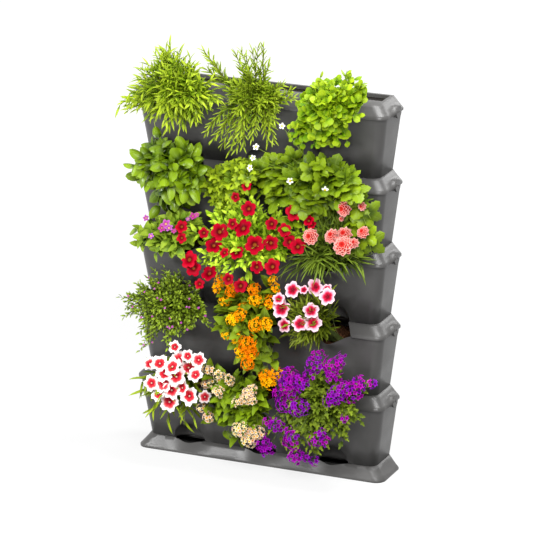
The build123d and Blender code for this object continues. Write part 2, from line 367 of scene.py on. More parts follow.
@dataclass(frozen=True)
class Finish:
    """What every finish has.

    Attributes:
        name: The material's name.
        roughness: Roughness of the surface.
    """

    name: str
    roughness: float

    def build(self, groups: SharedGroups) -> Material:
        """Make the material.

        Args:
            groups: The shared node groups.

        Returns:
            The material.
        """
        material = bpy.data.materials.new(self.name)
        material.use_nodes = True
        sheet = NodeSheet(material.node_tree)
        shader = sheet.add("ShaderNodeBsdfPrincipled", {"Roughness": self.roughness, **self._surface(sheet, groups)})
        sheet.add("ShaderNodeOutputMaterial", {"Surface": shader.outputs["BSDF"]})
        return material

    def _surface(self, sheet: NodeSheet, groups: SharedGroups) -> dict[str, object]:
        """What goes into the shader's sockets, by their names."""
        raise NotImplementedError


@dataclass(frozen=True)
class PlasticFinish(Finish):
    """Matt moulded plastic with a fine grain and a little dust.

    Attributes:
        colour: Colour of the plastic.
        dust: Colour of its paler patches.
        grain_scale: Grains to a metre.
        patch_scale: Patches to a metre.
        shine: How much the surface mirrors, as the shader's specular level.
        dusting: Noise values between which dust sets in.
        wear: Noise values between which the roughness changes.
        wear_change: How far the roughness goes down and up.
        grain_bump: Strength and depth of the grain.
    """

    colour: Colour
    dust: Colour
    grain_scale: float = 900.0
    patch_scale: float = 9.0
    shine: float = 0.38
    dusting: Pair = (0.35, 0.75)
    wear: Pair = (0.3, 0.7)
    wear_change: Pair = (0.05, 0.06)
    grain_bump: Pair = (0.25, 0.0004)

    def _surface(self, sheet: NodeSheet, groups: SharedGroups) -> dict[str, object]:
        """Dusty, worn and grained."""
        scales = {"Fine": self.grain_scale, "Slow": self.patch_scale}
        grain = sheet.add("ShaderNodeGroup", scales, node_tree=groups.grain).outputs
        less, more = self.wear_change
        return {
            "Base Color": sheet.mix(sheet.ease(grain["Patch"], *self.dusting), self.colour, self.dust),
            "Roughness": sheet.ease(grain["Patch"], *self.wear, self.roughness - less, self.roughness + more),
            "Specular IOR Level": self.shine,
            "Normal": sheet.bump(grain["Grain"], *self.grain_bump),
        }


@dataclass(frozen=True)
class SoilFinish(Finish):
    """Moist potting soil with paler fibres.

    Attributes:
        dark: Colour of the soil.
        pale: Colour of its drier crumbs.
        crumb_scale: Crumbs to a metre.
        shine: How much the surface mirrors.
        patch_crumbs: Crumbs to a patch.
        drying: Noise values between which a crumb turns pale.
        damp: Noise values between which a patch dries.
        damp_share: Paleness of a damp patch and of a dry one.
        crumb_bump: Strength and depth of the crumbs.
    """

    dark: Colour
    pale: Colour
    crumb_scale: float = 260.0
    shine: float = 0.04
    patch_crumbs: float = 6.0
    drying: Pair = (0.42, 0.68)
    damp: Pair = (0.3, 0.7)
    damp_share: Pair = (0.4, 1.0)
    crumb_bump: Pair = (0.9, 0.004)

    def _surface(self, sheet: NodeSheet, groups: SharedGroups) -> dict[str, object]:
        """Crumbs in damp and dry patches."""
        scales = {"Fine": self.crumb_scale, "Slow": self.crumb_scale / self.patch_crumbs}
        grain = sheet.add("ShaderNodeGroup", scales, node_tree=groups.grain).outputs
        share = sheet.math("MULTIPLY", sheet.ease(grain["Grain"], *self.drying),
                           sheet.ease(grain["Patch"], *self.damp, *self.damp_share))
        return {
            "Base Color": sheet.mix(share, self.dark, self.pale),
            "Specular IOR Level": self.shine,
            "Normal": sheet.bump(grain["Grain"], *self.crumb_bump),
        }


@dataclass(frozen=True)
class LeafFinish(Finish):
    """Green leaf with a rib and side veins, in several tints.

    Attributes:
        dark: Colour of the darkest leaves.
        light: Colour of the palest leaves.
        stalk: Colour of the stalks.
        veins: Side veins along the leaf.
        slant: How far a vein runs towards the tip before it meets the edge.
        vein_share: How much the veins show.
        shine: How much the surface mirrors.
        vein_white: White in the veins' colour.
        foot_painted_shade: Brightness of the painted shade at a leaf's foot, against the darkest leaves.
        foot: Places along a leaf between which the painted shade at its foot ends, and its share there.
        edge: Places across a leaf between which it turns pale, and how far.
        tip: The same along it.
        vein_bump: Strength and depth of the veins.
    """

    dark: Colour
    light: Colour
    stalk: Colour
    veins: float = 7.0
    slant: float = 0.35
    vein_share: float = 0.25
    shine: float = 0.14
    vein_white: float = 0.06
    foot_painted_shade: float = 0.6
    foot: tuple[float, float, float, float] = (0.0, 0.5, 0.8, 0.0)
    edge: tuple[float, float, float, float] = (0.72, 1.0, 0.0, 0.4)
    tip: tuple[float, float, float, float] = (0.55, 1.0, 0.0, 0.4)
    vein_bump: Pair = (0.35, 0.0008)

    def _surface(self, sheet: NodeSheet, groups: SharedGroups) -> dict[str, object]:
        """Tinted and veined, with painted shade at the foot, and pale at the edge and the tip."""
        lines = {"Veins": self.veins, "Slant": self.slant}
        leaf = sheet.add("ShaderNodeGroup", lines, node_tree=groups.atlas).outputs
        blade = sheet.mix(leaf["Tint"], self.dark, self.light)
        pale = tuple(self.vein_white + (1.0 - self.vein_white) * share for share in self.light)
        veined = sheet.mix(sheet.math("MULTIPLY", leaf["Vein"], self.vein_share), blade, pale)
        # Painted shade at the leaf's foot, where the leaf above would shade it.
        deep = tuple(self.foot_painted_shade * share for share in self.dark)
        shaded = sheet.mix(sheet.ease(leaf["Along"], *self.foot), veined, deep)
        edged = sheet.mix(sheet.ease(leaf["Across"], *self.edge), shaded, self.light)
        young = sheet.mix(sheet.ease(leaf["Along"], *self.tip), edged, self.light)
        return {
            "Base Color": sheet.mix(leaf["Stalk"], young, self.stalk),
            "Specular IOR Level": self.shine,
            "Normal": sheet.bump(sheet.math("SUBTRACT", 1.0, leaf["Vein"]), *self.vein_bump),
        }


@dataclass(frozen=True)
class PetalFinish(Finish):
    """Petal whose colour changes from its eye to its margin, in two kinds.

    Attributes:
        first: Places and colours from the eye to the margin.
        second: The same for the other kind of flower.
        stalk: Colour of the stalks.
        heart: Colour of the middle.
        streaks: How much darker the petal's sides are.
        shine: How much the surface mirrors.
        sides: Places across a petal between which it darkens.
        side_dark: Brightness of the dark sides against the margin.
    """

    first: tuple[tuple[float, Colour], ...]
    second: tuple[tuple[float, Colour], ...]
    stalk: Colour
    heart: Colour
    streaks: float = 0.12
    shine: float = 0.04
    sides: Pair = (0.55, 1.1)
    side_dark: float = 0.55

    def _surface(self, sheet: NodeSheet, groups: SharedGroups) -> dict[str, object]:
        """Two kinds of petal, darker at the sides."""
        petal = sheet.add("ShaderNodeGroup", node_tree=groups.atlas).outputs
        body = sheet.mix(petal["Tint"], sheet.ramp(petal["Along"], self.first),
                         sheet.ramp(petal["Along"], self.second))
        shade = sheet.math("MULTIPLY", sheet.ease(petal["Across"], *self.sides), self.streaks)
        deep = tuple(self.side_dark * share for share in self.first[-1][1])
        stalked = sheet.mix(petal["Stalk"], sheet.mix(shade, body, deep), self.stalk)
        return {
            "Base Color": sheet.mix(petal["Heart"], stalked, self.heart),
            "Specular IOR Level": self.shine,
        }


class MeshHeap:
    """Collects placed copies of small shapes into one mesh."""

    def __init__(self) -> None:
        """Start empty."""
        self.bm = mapped()
        self.copy = bpy.data.meshes.new("placed_copy")

    def place(self, shape: Mesh, matrix: Matrix) -> None:
        """Add a copy of a shape where the matrix puts it."""
        small = bmesh.new()
        small.from_mesh(shape)
        small.transform(matrix)
        small.to_mesh(self.copy)
        small.free()
        self.bm.from_mesh(self.copy)

    def stalks(self, paths: list[list[Vector]], radius: float) -> None:
        """Add round stalks.

        Args:
            paths: The points that each stalk is drawn to.
            radius: Radius at the stalk's root, in metres.
        """
        data = bpy.data.curves.new("stalks", "CURVE")
        data.dimensions = "3D"
        data.bevel_depth = radius
        data.bevel_resolution = 0
        data.resolution_u = 4
        data.use_fill_caps = True
        for points in paths:
            spline = data.splines.new("NURBS")
            spline.points.add(len(points) - 1)
            for i, (point, place) in enumerate(zip(spline.points, points)):
                point.co = (*place, 1.0)
                point.radius = 1.0 - STALK_TAPER * i / (len(points) - 1)
            spline.order_u = 3
            spline.use_endpoint_u = True
        holder = in_scene("stalks", data)
        mesh = evaluated(holder)
        bpy.data.objects.remove(holder)
        start = len(self.bm.faces)
        self.bm.from_mesh(mesh)
        bpy.data.meshes.remove(mesh)
        self.bm.faces.ensure_lookup_table()
        layer = self.bm.loops.layers.uv[ATLAS_NAME]
        for face in self.bm.faces[start:]:
            for i, loop in enumerate(face.loops):
                u, v = STALK_CORNERS[i % len(STALK_CORNERS)]
                loop[layer].uv = (u / ATLAS_SIDE, (ATLAS_SIDE - 1 + v) / ATLAS_SIDE)

    def finish(self, name: str, material: Material, body: str) -> Object:
        """Turn the heap into a piece that rides on a body."""
        bpy.data.meshes.remove(self.copy)
        return smooth_piece(self.bm, name, material, LEAF_CREASE, body)


def map_cell(bm: BMesh, spots: dict[BMLoop, Pair], cell: int) -> None:
    """Write a shape's map into one cell of the atlas.

    Args:
        bm: The shape.
        spots: Place across and along of each face corner, from 0 to 1.
        cell: Number of the cell, counted from the lowest row.
    """
    layer = bm.loops.layers.uv.verify()
    column, row = cell % ATLAS_SIDE, cell // ATLAS_SIDE
    span = 1.0 - 2 * ATLAS_EDGE
    for loop, (across, along) in spots.items():
        loop[layer].uv = ((column + ATLAS_EDGE + span * across) / ATLAS_SIDE,
                          (row + ATLAS_EDGE + span * along) / ATLAS_SIDE)


def close_shape(bm: BMesh, name: str, thickness: float) -> Mesh:
    """Merge a sheet's collapsed corners, thicken it in its own units and keep it as a mesh."""
    bmesh.ops.remove_doubles(bm, verts=bm.verts, dist=SHEET_WELD)
    bmesh.ops.dissolve_degenerate(bm, edges=bm.edges, dist=SHEET_SLIVER)
    bmesh.ops.recalc_face_normals(bm, faces=bm.faces)
    bmesh.ops.solidify(bm, geom=bm.faces[:], thickness=thickness)
    bmesh.ops.recalc_face_normals(bm, faces=bm.faces)
    return kept(bm, name)


class Outline(Enum):
    """How a leaf's edge runs."""

    NEEDLE = "needle"
    LANCE = "lance"
    STRAP = "strap"
    OVATE = "ovate"
    OVAL = "oval"
    ROUND = "round"
    CUT = "cut"


@dataclass(frozen=True)
class LeafShape:
    """A leaf of unit length that lies along Y, with its upper face to Z.

    Attributes:
        outline: How its edge runs.
        width: Width as a share of its length.
        rows: Faces along it.
        columns: Faces across it.
        cup: How far the edges lift over the rib, as a share of the half width.
        arch: How far the tip bends down, as a share of the length.
        teeth: Depth of the teeth, as a share of the half width.
        thickness: Thickness as a share of the length.
        leaflets: One leaf, or three that share a stalk.
        leaflet_stalk: Length of a leaflet's stalk, as a share of its length.
        leaflet_turn: Degrees between the leaflets.
        leaflet_size: Size of the side leaflets against the middle one.
        cup_range: Least and greatest share of the cup.
        arch_range: Least and greatest share of the arch.
        sway: Greatest bend to a side, as a share of the length.
    """

    outline: Outline
    width: float
    rows: int = 5
    columns: int = 2
    cup: float = 0.3
    arch: float = 0.25
    teeth: float = 0.0
    thickness: float = 0.012
    leaflets: int = 1
    leaflet_stalk: float = 0.12
    leaflet_turn: float = 72.0
    leaflet_size: float = 0.9
    cup_range: Pair = (0.6, 1.3)
    arch_range: Pair = (0.4, 1.5)
    sway: float = 0.06

    def half_width(self, along: float, row: int) -> float:
        """Half width at a place along the leaf, from 0 to 1, in a row of corners, as a share of the length."""
        shapes = {
            Outline.NEEDLE: math.sin(math.pi * min(0.12 + 0.86 * along, 1.0)) ** 0.6,
            Outline.LANCE: math.sin(math.pi * along ** 0.85) ** 0.9,
            Outline.STRAP: min(1.0, 6.0 * along + 0.35) * (1.0 - along ** 5),
            Outline.OVATE: math.sin(math.pi * along ** 0.7) ** 0.8,
            Outline.OVAL: math.sin(math.pi * along ** 0.8) ** 0.55,
            Outline.ROUND: math.sin(math.pi * along) ** 0.5,
            Outline.CUT: math.sin(math.pi * along ** 0.8) * (1.0 if row % 2 else 0.45),
        }
        toothed = 1.0 + self.teeth * (0.5 if row % 2 else -0.5)
        return 0.5 * self.width * max(shapes[self.outline], 0.0) * toothed

    def build(self, name: str, cell: int, dice: random.Random) -> Mesh:
        """Make the leaf's mesh in the tint of one cell of the atlas, with small differences."""
        bm = mapped()
        bmesh.ops.create_grid(bm, x_segments=self.columns, y_segments=self.rows, size=0.5)
        map_cell(bm, {loop: (loop.vert.co.x + 0.5, loop.vert.co.y + 0.5)
                      for face in bm.faces for loop in face.loops}, cell)
        cup = self.cup * dice.uniform(*self.cup_range)
        arch = self.arch * dice.uniform(*self.arch_range)
        sway = dice.uniform(-self.sway, self.sway)
        for vert in bm.verts:
            side, along = 2.0 * vert.co.x, vert.co.y + 0.5
            half = self.half_width(along, round(along * self.rows))
            vert.co = (side * half + sway * along ** 2, along,
                       cup * side ** 2 * half - arch * along ** 2)
        if self.leaflets > 1:
            self._spread(bm)
        return close_shape(bm, name, self.thickness)

    def _spread(self, bm: BMesh) -> None:
        """Copy the leaf to each side on a short stalk."""
        bmesh.ops.translate(bm, verts=bm.verts, vec=(0.0, self.leaflet_stalk, 0.0))
        blade = bm.verts[:] + bm.edges[:] + bm.faces[:]
        for angle in (-self.leaflet_turn, self.leaflet_turn):
            copy = bmesh.ops.duplicate(bm, geom=blade)["geom"]
            verts = [item for item in copy if isinstance(item, BMVert)]
            turn = Matrix.Rotation(math.radians(angle), 4, "Z") @ Matrix.Scale(self.leaflet_size, 4)
            bmesh.ops.transform(bm, matrix=turn, verts=verts)


@dataclass(frozen=True)
class Corolla:
    """A ring of petals of unit radius, open to Z.

    Attributes:
        lobes: Number of petals.
        steps: Faces across a petal.
        rings: Faces from the throat to the edge.
        notch: Depth of the gap between petals.
        fringe: Depth of the teeth on the edge.
        bowl: Height of the edge over the throat.
        curl: How far the edge bends back.
        ruffle: Height of the waves along the edge.
        waves: Waves round the edge.
        throat: Radius of the throat.
        thickness: Thickness of a petal.
    """

    lobes: int = 5
    steps: int = 4
    rings: int = 3
    notch: float = 0.35
    fringe: float = 0.0
    bowl: float = 0.25
    curl: float = 0.0
    ruffle: float = 0.0
    waves: float = 7.0
    throat: float = 0.06
    thickness: float = 0.03

    def build(self, name: str, cell: int, dice: random.Random) -> Mesh:
        """Make the corolla's mesh in the tint of one cell of the atlas, with small differences."""
        bm = mapped()
        bmesh.ops.create_grid(bm, x_segments=self.lobes * self.steps, y_segments=self.rings, size=0.5)
        spots = {}
        for face in bm.faces:
            lobe = math.floor((face.calc_center_median().x + 0.5) * self.lobes)
            for loop in face.loops:
                spots[loop] = ((loop.vert.co.x + 0.5) * self.lobes - lobe, loop.vert.co.y + 0.5)
        map_cell(bm, spots, cell)
        phase = dice.uniform(0.0, math.tau)
        for vert in bm.verts:
            round_share, out = vert.co.x + 0.5, vert.co.y + 0.5
            angle = math.tau * round_share
            step = round(round_share * self.lobes * self.steps)
            inside = abs(2.0 * ((round_share * self.lobes) % 1.0) - 1.0)
            edge = 1.0 - self.notch * inside ** 3 - (self.fringe if step % 2 else 0.0)
            radius = self.throat + (1.0 - self.throat) * out * (1.0 - (1.0 - edge) * out)
            wave = self.ruffle * out ** 2 * math.sin(phase + self.waves * angle)
            rise = self.bowl * out ** 0.8 - self.curl * out ** 4 + wave
            vert.co = (radius * math.cos(angle), radius * math.sin(angle), rise)
        return close_shape(bm, name, self.thickness)


SMALL_FIVE = Corolla(steps=2, rings=2, notch=0.5, bowl=0.2, thickness=0.06)


class Habit(Enum):
    """How a plant bears its flowers."""

    SINGLE = "single"
    DOUBLE = "double"
    CLUSTER = "cluster"


@dataclass(frozen=True)
class Bloom:
    """The flowers of one plant.

    Attributes:
        habit: How they are borne.
        corolla: Shape of one flower.
        finish: Their finish.
        width: Width of a flower or of a whole cluster, in metres.
        florets: Flowers in a cluster.
        floret: Width of one flower of a cluster, in metres.
        heart: Radius of the middle as a share of the flower's radius.
        proud: How far a flower stands in front of the foliage, in metres.
        leafy: Whether the flowers' shoots bear leaves.
        scattered: Flowers at places that aren't given.
    """

    habit: Habit
    corolla: Corolla
    finish: PetalFinish
    width: float
    florets: int = 14
    floret: float = 0.012
    heart: float = 0.0
    proud: float = 0.012
    leafy: bool = True
    scattered: int = 0


def facing(origin: Vector, along: Vector, upper: Vector, size: float) -> Matrix:
    """Place a shape with its Y axis along one way and its Z axis near another.

    Args:
        origin: Where it starts.
        along: The way that its Y axis takes.
        upper: The way that its Z axis leans to.
        size: Its scale.

    Returns:
        The matrix that places it.
    """
    y = along.normalized()
    x = y.cross(upper)
    x = x.normalized() if x.length > CROSS_FLOOR else y.orthogonal().normalized()
    z = x.cross(y)
    turn = Matrix((x, y, z)).transposed().to_4x4()
    return Matrix.Translation(origin) @ turn @ Matrix.Scale(size, 4)


@dataclass
class Stack:
    """Places that the plants need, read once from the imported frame.

    Attributes:
        pocket_pitch: Distance between pockets, in metres.
        root_from_front: How far behind the collar's front a root stands.
        soil_drop: Soil surface under the trough's rim.
        rim_gap: Least distance of a shoot's tip from the collars, above its own rim.
        hang_gap: The same below its rim, where the pockets' lips stand forward.
        lift_room: Height over a rim that its lifted collar sweeps.
        lip_drop: Depth of a collar's lip under the rim.
        leaf_gap: Least distance of a leaf from that sweep.
    """

    pocket_pitch: float = 0.19667
    root_from_front: float = 0.034
    soil_drop: float = 0.030
    rim_gap: float = 0.012
    hang_gap: float = 0.030
    lift_room: float = 0.085
    lip_drop: float = 0.035
    leaf_gap: float = 0.002
    rims: list[float] = field(init=False)
    fronts: list[float] = field(init=False)

    def __post_init__(self) -> None:
        """Measure every trough and collar."""
        numbers = range(1, TIERS + 1)
        self.rims = [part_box(f"trough_{number}")[1].z for number in numbers]
        self.fronts = [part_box(f"collar_{number}")[0].y for number in numbers]

    def rim(self, tier: int) -> float:
        """Height of a trough's rim."""
        return self.rims[tier - 1]

    def collar_front(self, tier: int) -> float:
        """Place of a collar's front."""
        return self.fronts[tier - 1]

    def root(self, tier: int, column: int) -> Vector:
        """Place of a root at the soil's surface."""
        return Vector((column * self.pocket_pitch, self.collar_front(tier) + self.root_from_front,
                       self.rim(tier) - self.soil_drop))

    def wall(self, tier: int, height: float) -> float:
        """Greatest Y that the tip of a trough's shoot may have at a height."""
        if height < self.rim(tier):
            return self.collar_front(tier) - self.hang_gap
        above = tier == TIERS and height > self.rim(tier) + self.lift_room
        return 0.0 if above else self.collar_front(tier) - self.rim_gap

    def spare(self, tier: int, place: Vector) -> float:
        """Room behind a leaf's foot before the way of the lifted collar; endless away from it."""
        over = place.z - self.rim(tier)
        if over < -self.lip_drop or over > self.lift_room:
            return math.inf
        return self.collar_front(tier) - self.leaf_gap - place.y


@dataclass(frozen=True)
class Patch:
    """The part of the picture that a plant's foliage fills.

    Attributes:
        corners: Its outline, in pixels of the picture.
        share: How far from its middle towards the outline a shoot's tip may come.
    """

    corners: tuple[Pair, ...]
    share: float = 0.88

    def holds(self, px: float, py: float) -> bool:
        """Whether a place in the picture lies inside the outline."""
        inside = False
        for (ax, ay), (bx, by) in zip(self.corners, self.corners[1:] + self.corners[:1]):
            if (ay > py) != (by > py) and px < ax + (py - ay) * (bx - ax) / (by - ay):
                inside = not inside
        return inside

    def pick(self, dice: random.Random) -> Spot:
        """Pick a place for the tip of a shoot."""
        across, down = zip(*self.corners)
        px, py = dice.uniform(min(across), max(across)), dice.uniform(min(down), max(down))
        while not self.holds(px, py):
            px, py = dice.uniform(min(across), max(across)), dice.uniform(min(down), max(down))
        middle_x, middle_y = sum(across) / len(across), sum(down) / len(down)
        return Spot(middle_x + (px - middle_x) * self.share, middle_y + (py - middle_y) * self.share)


class Head(NamedTuple):
    """A flower or a cluster: its place, the way that it faces, its width and its stalk."""

    place: Vector
    way: Vector
    width: float
    path: list[Vector]


@dataclass(frozen=True)
class Growth:
    """How shoots, leaves and flowers vary, the same for every plant.

    Attributes:
        middle_depth: Place of a crown's middle behind its front, as a share of its depth.
        root_across: Greatest distance of a root from the pocket's middle, in metres.
        root_along: The same towards the front or the back.
        lip_gap: Distance of a shoot from the collar's front where it passes the rim.
        lip_rise: Greatest height of a shoot over the rim there.
        lean: How far a shoot has gone towards its tip there.
        droop: Height of a hanging shoot's bow, as a share of its length.
        droop_under: Height over the rim under which a tip hangs.
        turn: Greatest change of the angle between two leaves.
        splay_range: Least and greatest share of a leaf's splay.
        splay_fade: Splay at a shoot's root, and how much of it is lost at the tip.
        lift: Greatest share of a leaf's lift.
        upper: What a leaf's upper face leans to: its shoot, up, up by its lift, and the front.
        tumble: Greatest shift of that way.
        size_fade: Size of a leaf at a shoot's root, and how much of it is lost at the tip.
        tint: Least and greatest change of a leaf's tint.
        depth_painted_shade: How much painted shade darkens the leaves of the deepest shoots.
        bare_tip: Share of a flower's shoot where the leaves end.
        least_leaf: Least size of a leaf beside a collar, as a share of its own.
        flower_way: What a flower faces: out of the crown, the front, and up.
        flower_tumble: Greatest shift of that way.
        flower_range: Least and greatest share of a flower's width.
        flower_stalk: Distance of a flower from the end of its shoot, in metres.
        rings: Sizes of a double flower's rings of petals.
        ring_step: Distance between the rings, as a share of the width.
        heart_step: Height of the heart, as a share of the width.
        least_cluster: Least number of flowers in a cluster.
        dome: Share of a half ball that a cluster covers.
        dome_sink: How far a cluster's middle lies behind its place, as a share of its width.
        dome_range: Least and greatest share of the cluster's radius.
        floret_tumble: Greatest shift of the way that a cluster's flower faces.
        floret_range: Least and greatest share of its width.
        floret_tints: Tints in a cluster.
    """

    middle_depth: float = 0.35
    root_across: float = 0.022
    root_along: float = 0.012
    lip_gap: float = 0.012
    lip_rise: float = 0.02
    lean: float = 0.25
    droop: float = 0.25
    droop_under: float = 0.02
    turn: float = 0.3
    splay_range: Pair = (0.7, 1.25)
    splay_fade: Pair = (1.2, 0.6)
    lift: float = 0.8
    upper: tuple[float, float, float, float] = (0.25, 0.55, 0.5, 0.55)
    tumble: float = 0.45
    size_fade: Pair = (1.12, 0.3)
    tint: Pair = (-0.3, 0.35)
    depth_painted_shade: float = 0.55
    bare_tip: float = 0.9
    least_leaf: float = 0.3
    flower_way: tuple[float, float, float] = (0.3, 0.75, 0.45)
    flower_tumble: float = 0.28
    flower_range: Pair = (0.85, 1.1)
    flower_stalk: float = 0.003
    rings: tuple[float, ...] = (1.0, 0.92, 0.78, 0.6, 0.4)
    ring_step: float = 0.10
    heart_step: float = 0.05
    least_cluster: int = 4
    dome: float = 0.85
    dome_sink: float = 0.25
    dome_range: Pair = (0.78, 1.12)
    floret_tumble: float = 0.4
    floret_range: Pair = (0.75, 1.2)
    floret_tints: int = 4


GROWTH = Growth()


@dataclass
class Plant:
    """One plant in its pocket.

    Attributes:
        node: The solid that it replaces.
        tier: Its trough, counted from the bottom.
        column: Its pocket: -1, 0 or 1.
        leaf: Shape of its leaves.
        leaf_finish: Finish of its leaves.
        leaf_length: Least and greatest length of a leaf, in metres.
        patch: The part of the picture that its foliage fills.
        shoots: Number of shoots with tips in the patch.
        leaves: Leaves on a shoot.
        splay: Degrees between a leaf and its shoot.
        lift: How much a leaf turns up.
        bare: Share of a shoot without leaves.
        stalk: Radius of a shoot, in metres.
        thick: Depth of the foliage behind the crown's front, in metres.
        tips: Shoots that end at places in the picture.
        bloom: Its flowers.
        heads: Flowers at places in the picture.
        seed: Start of its small differences.
        front_room: Distance of the foremost tips from the front of the whole model.
        tints: Number of different leaves.
    """

    node: str
    tier: int
    column: int
    leaf: LeafShape
    leaf_finish: LeafFinish
    leaf_length: Pair
    patch: Patch
    shoots: int
    leaves: int
    splay: float = 55.0
    lift: float = 0.3
    bare: float = 0.25
    stalk: float = 0.0012
    thick: float = 0.05
    tips: tuple[Spot, ...] = ()
    bloom: Bloom | None = None
    heads: tuple[Spot, ...] = ()
    seed: int = 1
    front_room: float = 0.030
    tints: int = ATLAS_SIDE * (ATLAS_SIDE - 1)
    dice: random.Random = field(init=False)
    crown: BVHTree = field(init=False)
    middle: Vector = field(init=False)

    def __post_init__(self) -> None:
        """Read the crown's solid."""
        self.dice = random.Random(self.seed)
        mesh = frame["nodes"][self.node].data
        corners = [vert.co.copy() for vert in mesh.vertices]
        self.crown = BVHTree.FromPolygons(corners, [tuple(face.vertices) for face in mesh.polygons])
        low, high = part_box(self.node)
        depth = GROWTH.middle_depth
        self.middle = Vector(((low.x + high.x) / 2, low.y * (1.0 - depth) + high.y * depth, (low.z + high.z) / 2))

    def reach(self, view: Viewpoint, stack: Stack, spot: Spot, sink: float) -> tuple[Vector, Vector]:
        """Find the place in the crown that a spot in the picture shows.

        Args:
            view: The camera.
            stack: Places in the stack.
            spot: The spot.
            sink: How far behind the crown's front the place lies, in metres.

        Returns:
            The place, and the way that the crown faces there.
        """
        origin, way = view.ray(spot)
        hit, normal, _, far = self.crown.ray_cast(origin, way)
        if hit is None:
            normal = FRONT.copy()
            far = (self.middle.y - origin.y) / way.y
        nearest = (CAD_BOX[0].y + self.front_room - origin.y) / way.y
        place = origin + way * max(far + sink, nearest)
        behind = stack.wall(self.tier, place.z)
        if place.y > behind:
            place = origin + way * ((behind - origin.y) / way.y)
        return place, normal

    def shoot(self, stack: Stack, tip: Vector) -> list[Vector]:
        """Points of a shoot from the soil over the lip to its tip."""
        root = stack.root(self.tier, self.column)
        root.x += self.dice.uniform(-GROWTH.root_across, GROWTH.root_across)
        root.y += self.dice.uniform(-GROWTH.root_along, GROWTH.root_along)
        over = Vector((root.x * (1.0 - GROWTH.lean) + tip.x * GROWTH.lean,
                       stack.collar_front(self.tier) - GROWTH.lip_gap,
                       stack.rim(self.tier) + self.dice.uniform(0.0, GROWTH.lip_rise)))
        bend = over.lerp(tip, 0.5)
        if tip.z < over.z + GROWTH.droop_under:
            bend.z += GROWTH.droop * (tip - over).length
        return [root, over, bend, tip]

    @staticmethod
    def along(points: list[Vector], share: float) -> tuple[Vector, Vector]:
        """Place at a share of a shoot, from 0 to 1, and the way that the shoot runs there."""
        _, a, b, c = points
        place = a * (1 - share) ** 2 + b * (2 * share * (1 - share)) + c * share ** 2
        way = (b - a) * (2 * (1 - share)) + (c - b) * (2 * share)
        return place, way.normalized()

    def jitter(self, size: float) -> Vector:
        """A small shift in any direction."""
        return Vector([self.dice.uniform(-size, size) for _ in range(3)])

    def clothe(self, heap: MeshHeap, stack: Stack, blades: list[Mesh], points: list[Vector],
               until: float, shade: float = 0.0) -> None:
        """Set leaves along a shoot.

        Args:
            heap: The mesh that takes them.
            stack: Places in the stack.
            blades: The leaf in each tint, from dark to pale.
            points: The shoot's points.
            until: Share of the shoot where the leaves end.
            shade: How much painted shade darkens the leaves, from 0 to 1.
        """
        turn = self.dice.uniform(0.0, math.tau)
        splay_start, splay_loss = GROWTH.splay_fade
        size_start, size_loss = GROWTH.size_fade
        by_shoot, by_up, by_lift, by_front = GROWTH.upper
        for i in range(self.leaves):
            share = self.bare + (until - self.bare) * (i + 0.5) / self.leaves
            place, way = self.along(points, share)
            turn += GOLDEN_ANGLE + self.dice.uniform(-GROWTH.turn, GROWTH.turn)
            side = way.orthogonal().normalized()
            side.rotate(Matrix.Rotation(turn, 3, way))
            splay = math.radians(self.splay * self.dice.uniform(*GROWTH.splay_range)
                                 * (splay_start - splay_loss * share))
            leaf_way = way * math.cos(splay) + side * math.sin(splay)
            leaf_way += UP * self.lift * self.dice.uniform(0.0, GROWTH.lift)
            upper = way * by_shoot + UP * (by_up + by_lift * self.lift) + FRONT * by_front
            upper += self.jitter(GROWTH.tumble)
            size = self.dice.uniform(*self.leaf_length) * (size_start - size_loss * share)
            # Tint: paler towards the shoot's tip, where the leaves are young, and darker towards its root inside the
            # foliage as painted shade; the painted shade passed in darkens it further.
            pale = (share - self.bare) / (1.0 - self.bare) - shade + self.dice.uniform(*GROWTH.tint)
            blade = blades[max(0, min(int(pale * len(blades)), len(blades) - 1))]
            spare = stack.spare(self.tier, place)
            if leaf_way.y * size > spare:
                leaf_way.y = -abs(leaf_way.y)
            matrix = facing(place, leaf_way, upper, size)
            if math.isfinite(spare):
                reach = max((matrix @ vert.co).y for vert in blade.vertices) - place.y
                if spare < GROWTH.least_leaf * reach:
                    continue
                matrix = matrix @ Matrix.Scale(min(1.0, spare / max(reach, LENGTH_FLOOR)), 4)
            heap.place(blade, matrix)

    def build(self, view: Viewpoint, stack: Stack, groups: SharedGroups) -> list[Object]:
        """Grow the plant and give back the pieces made."""
        body = f"tier_{self.tier}"
        heap = MeshHeap()
        blades = [self.leaf.build(f"{self.node}_leaf_{i}", i, self.dice) for i in range(self.tints)]
        heads = self._heads(view, stack)
        spots = [(spot, 0.0) for spot in self.tips]
        spots += [(self.patch.pick(self.dice), self.dice.random()) for _ in range(self.shoots)]
        paths = []
        for spot, depth in spots:
            tip, _ = self.reach(view, stack, spot, depth * self.thick)
            paths.append(self.shoot(stack, tip))
            # Painted shade: the leaves of shoots that end deeper in the foliage take darker tints.
            self.clothe(heap, stack, blades, paths[-1], 1.0, GROWTH.depth_painted_shade * depth)
        if self.bloom and self.bloom.leafy:
            for head in heads:
                self.clothe(heap, stack, blades, head.path, GROWTH.bare_tip)
        heap.stalks(paths + [head.path for head in heads], self.stalk)
        leaves = heap.finish(f"{self.node}_leaves", self.leaf_finish.build(groups), body)
        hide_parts(self.node)
        bpy.data.batch_remove(blades)
        if not heads:
            return [leaves]
        return [leaves, self._flower(heads, groups, body)]

    def _heads(self, view: Viewpoint, stack: Stack) -> list[Head]:
        """Find where the flowers or clusters stand."""
        bloom = self.bloom
        if bloom is None:
            return []
        spots = list(self.heads) + [self.patch.pick(self.dice) for _ in range(bloom.scattered)]
        heads = []
        by_crown, by_front, by_up = GROWTH.flower_way
        for spot in spots:
            place, normal = self.reach(view, stack, spot, -bloom.proud)
            way = normal * by_crown + FRONT * by_front + UP * by_up + self.jitter(GROWTH.flower_tumble)
            way.normalize()
            width = spot.width or bloom.width * self.dice.uniform(*GROWTH.flower_range)
            heads.append(Head(place, way, width, self.shoot(stack, place - way * GROWTH.flower_stalk)))
        return heads

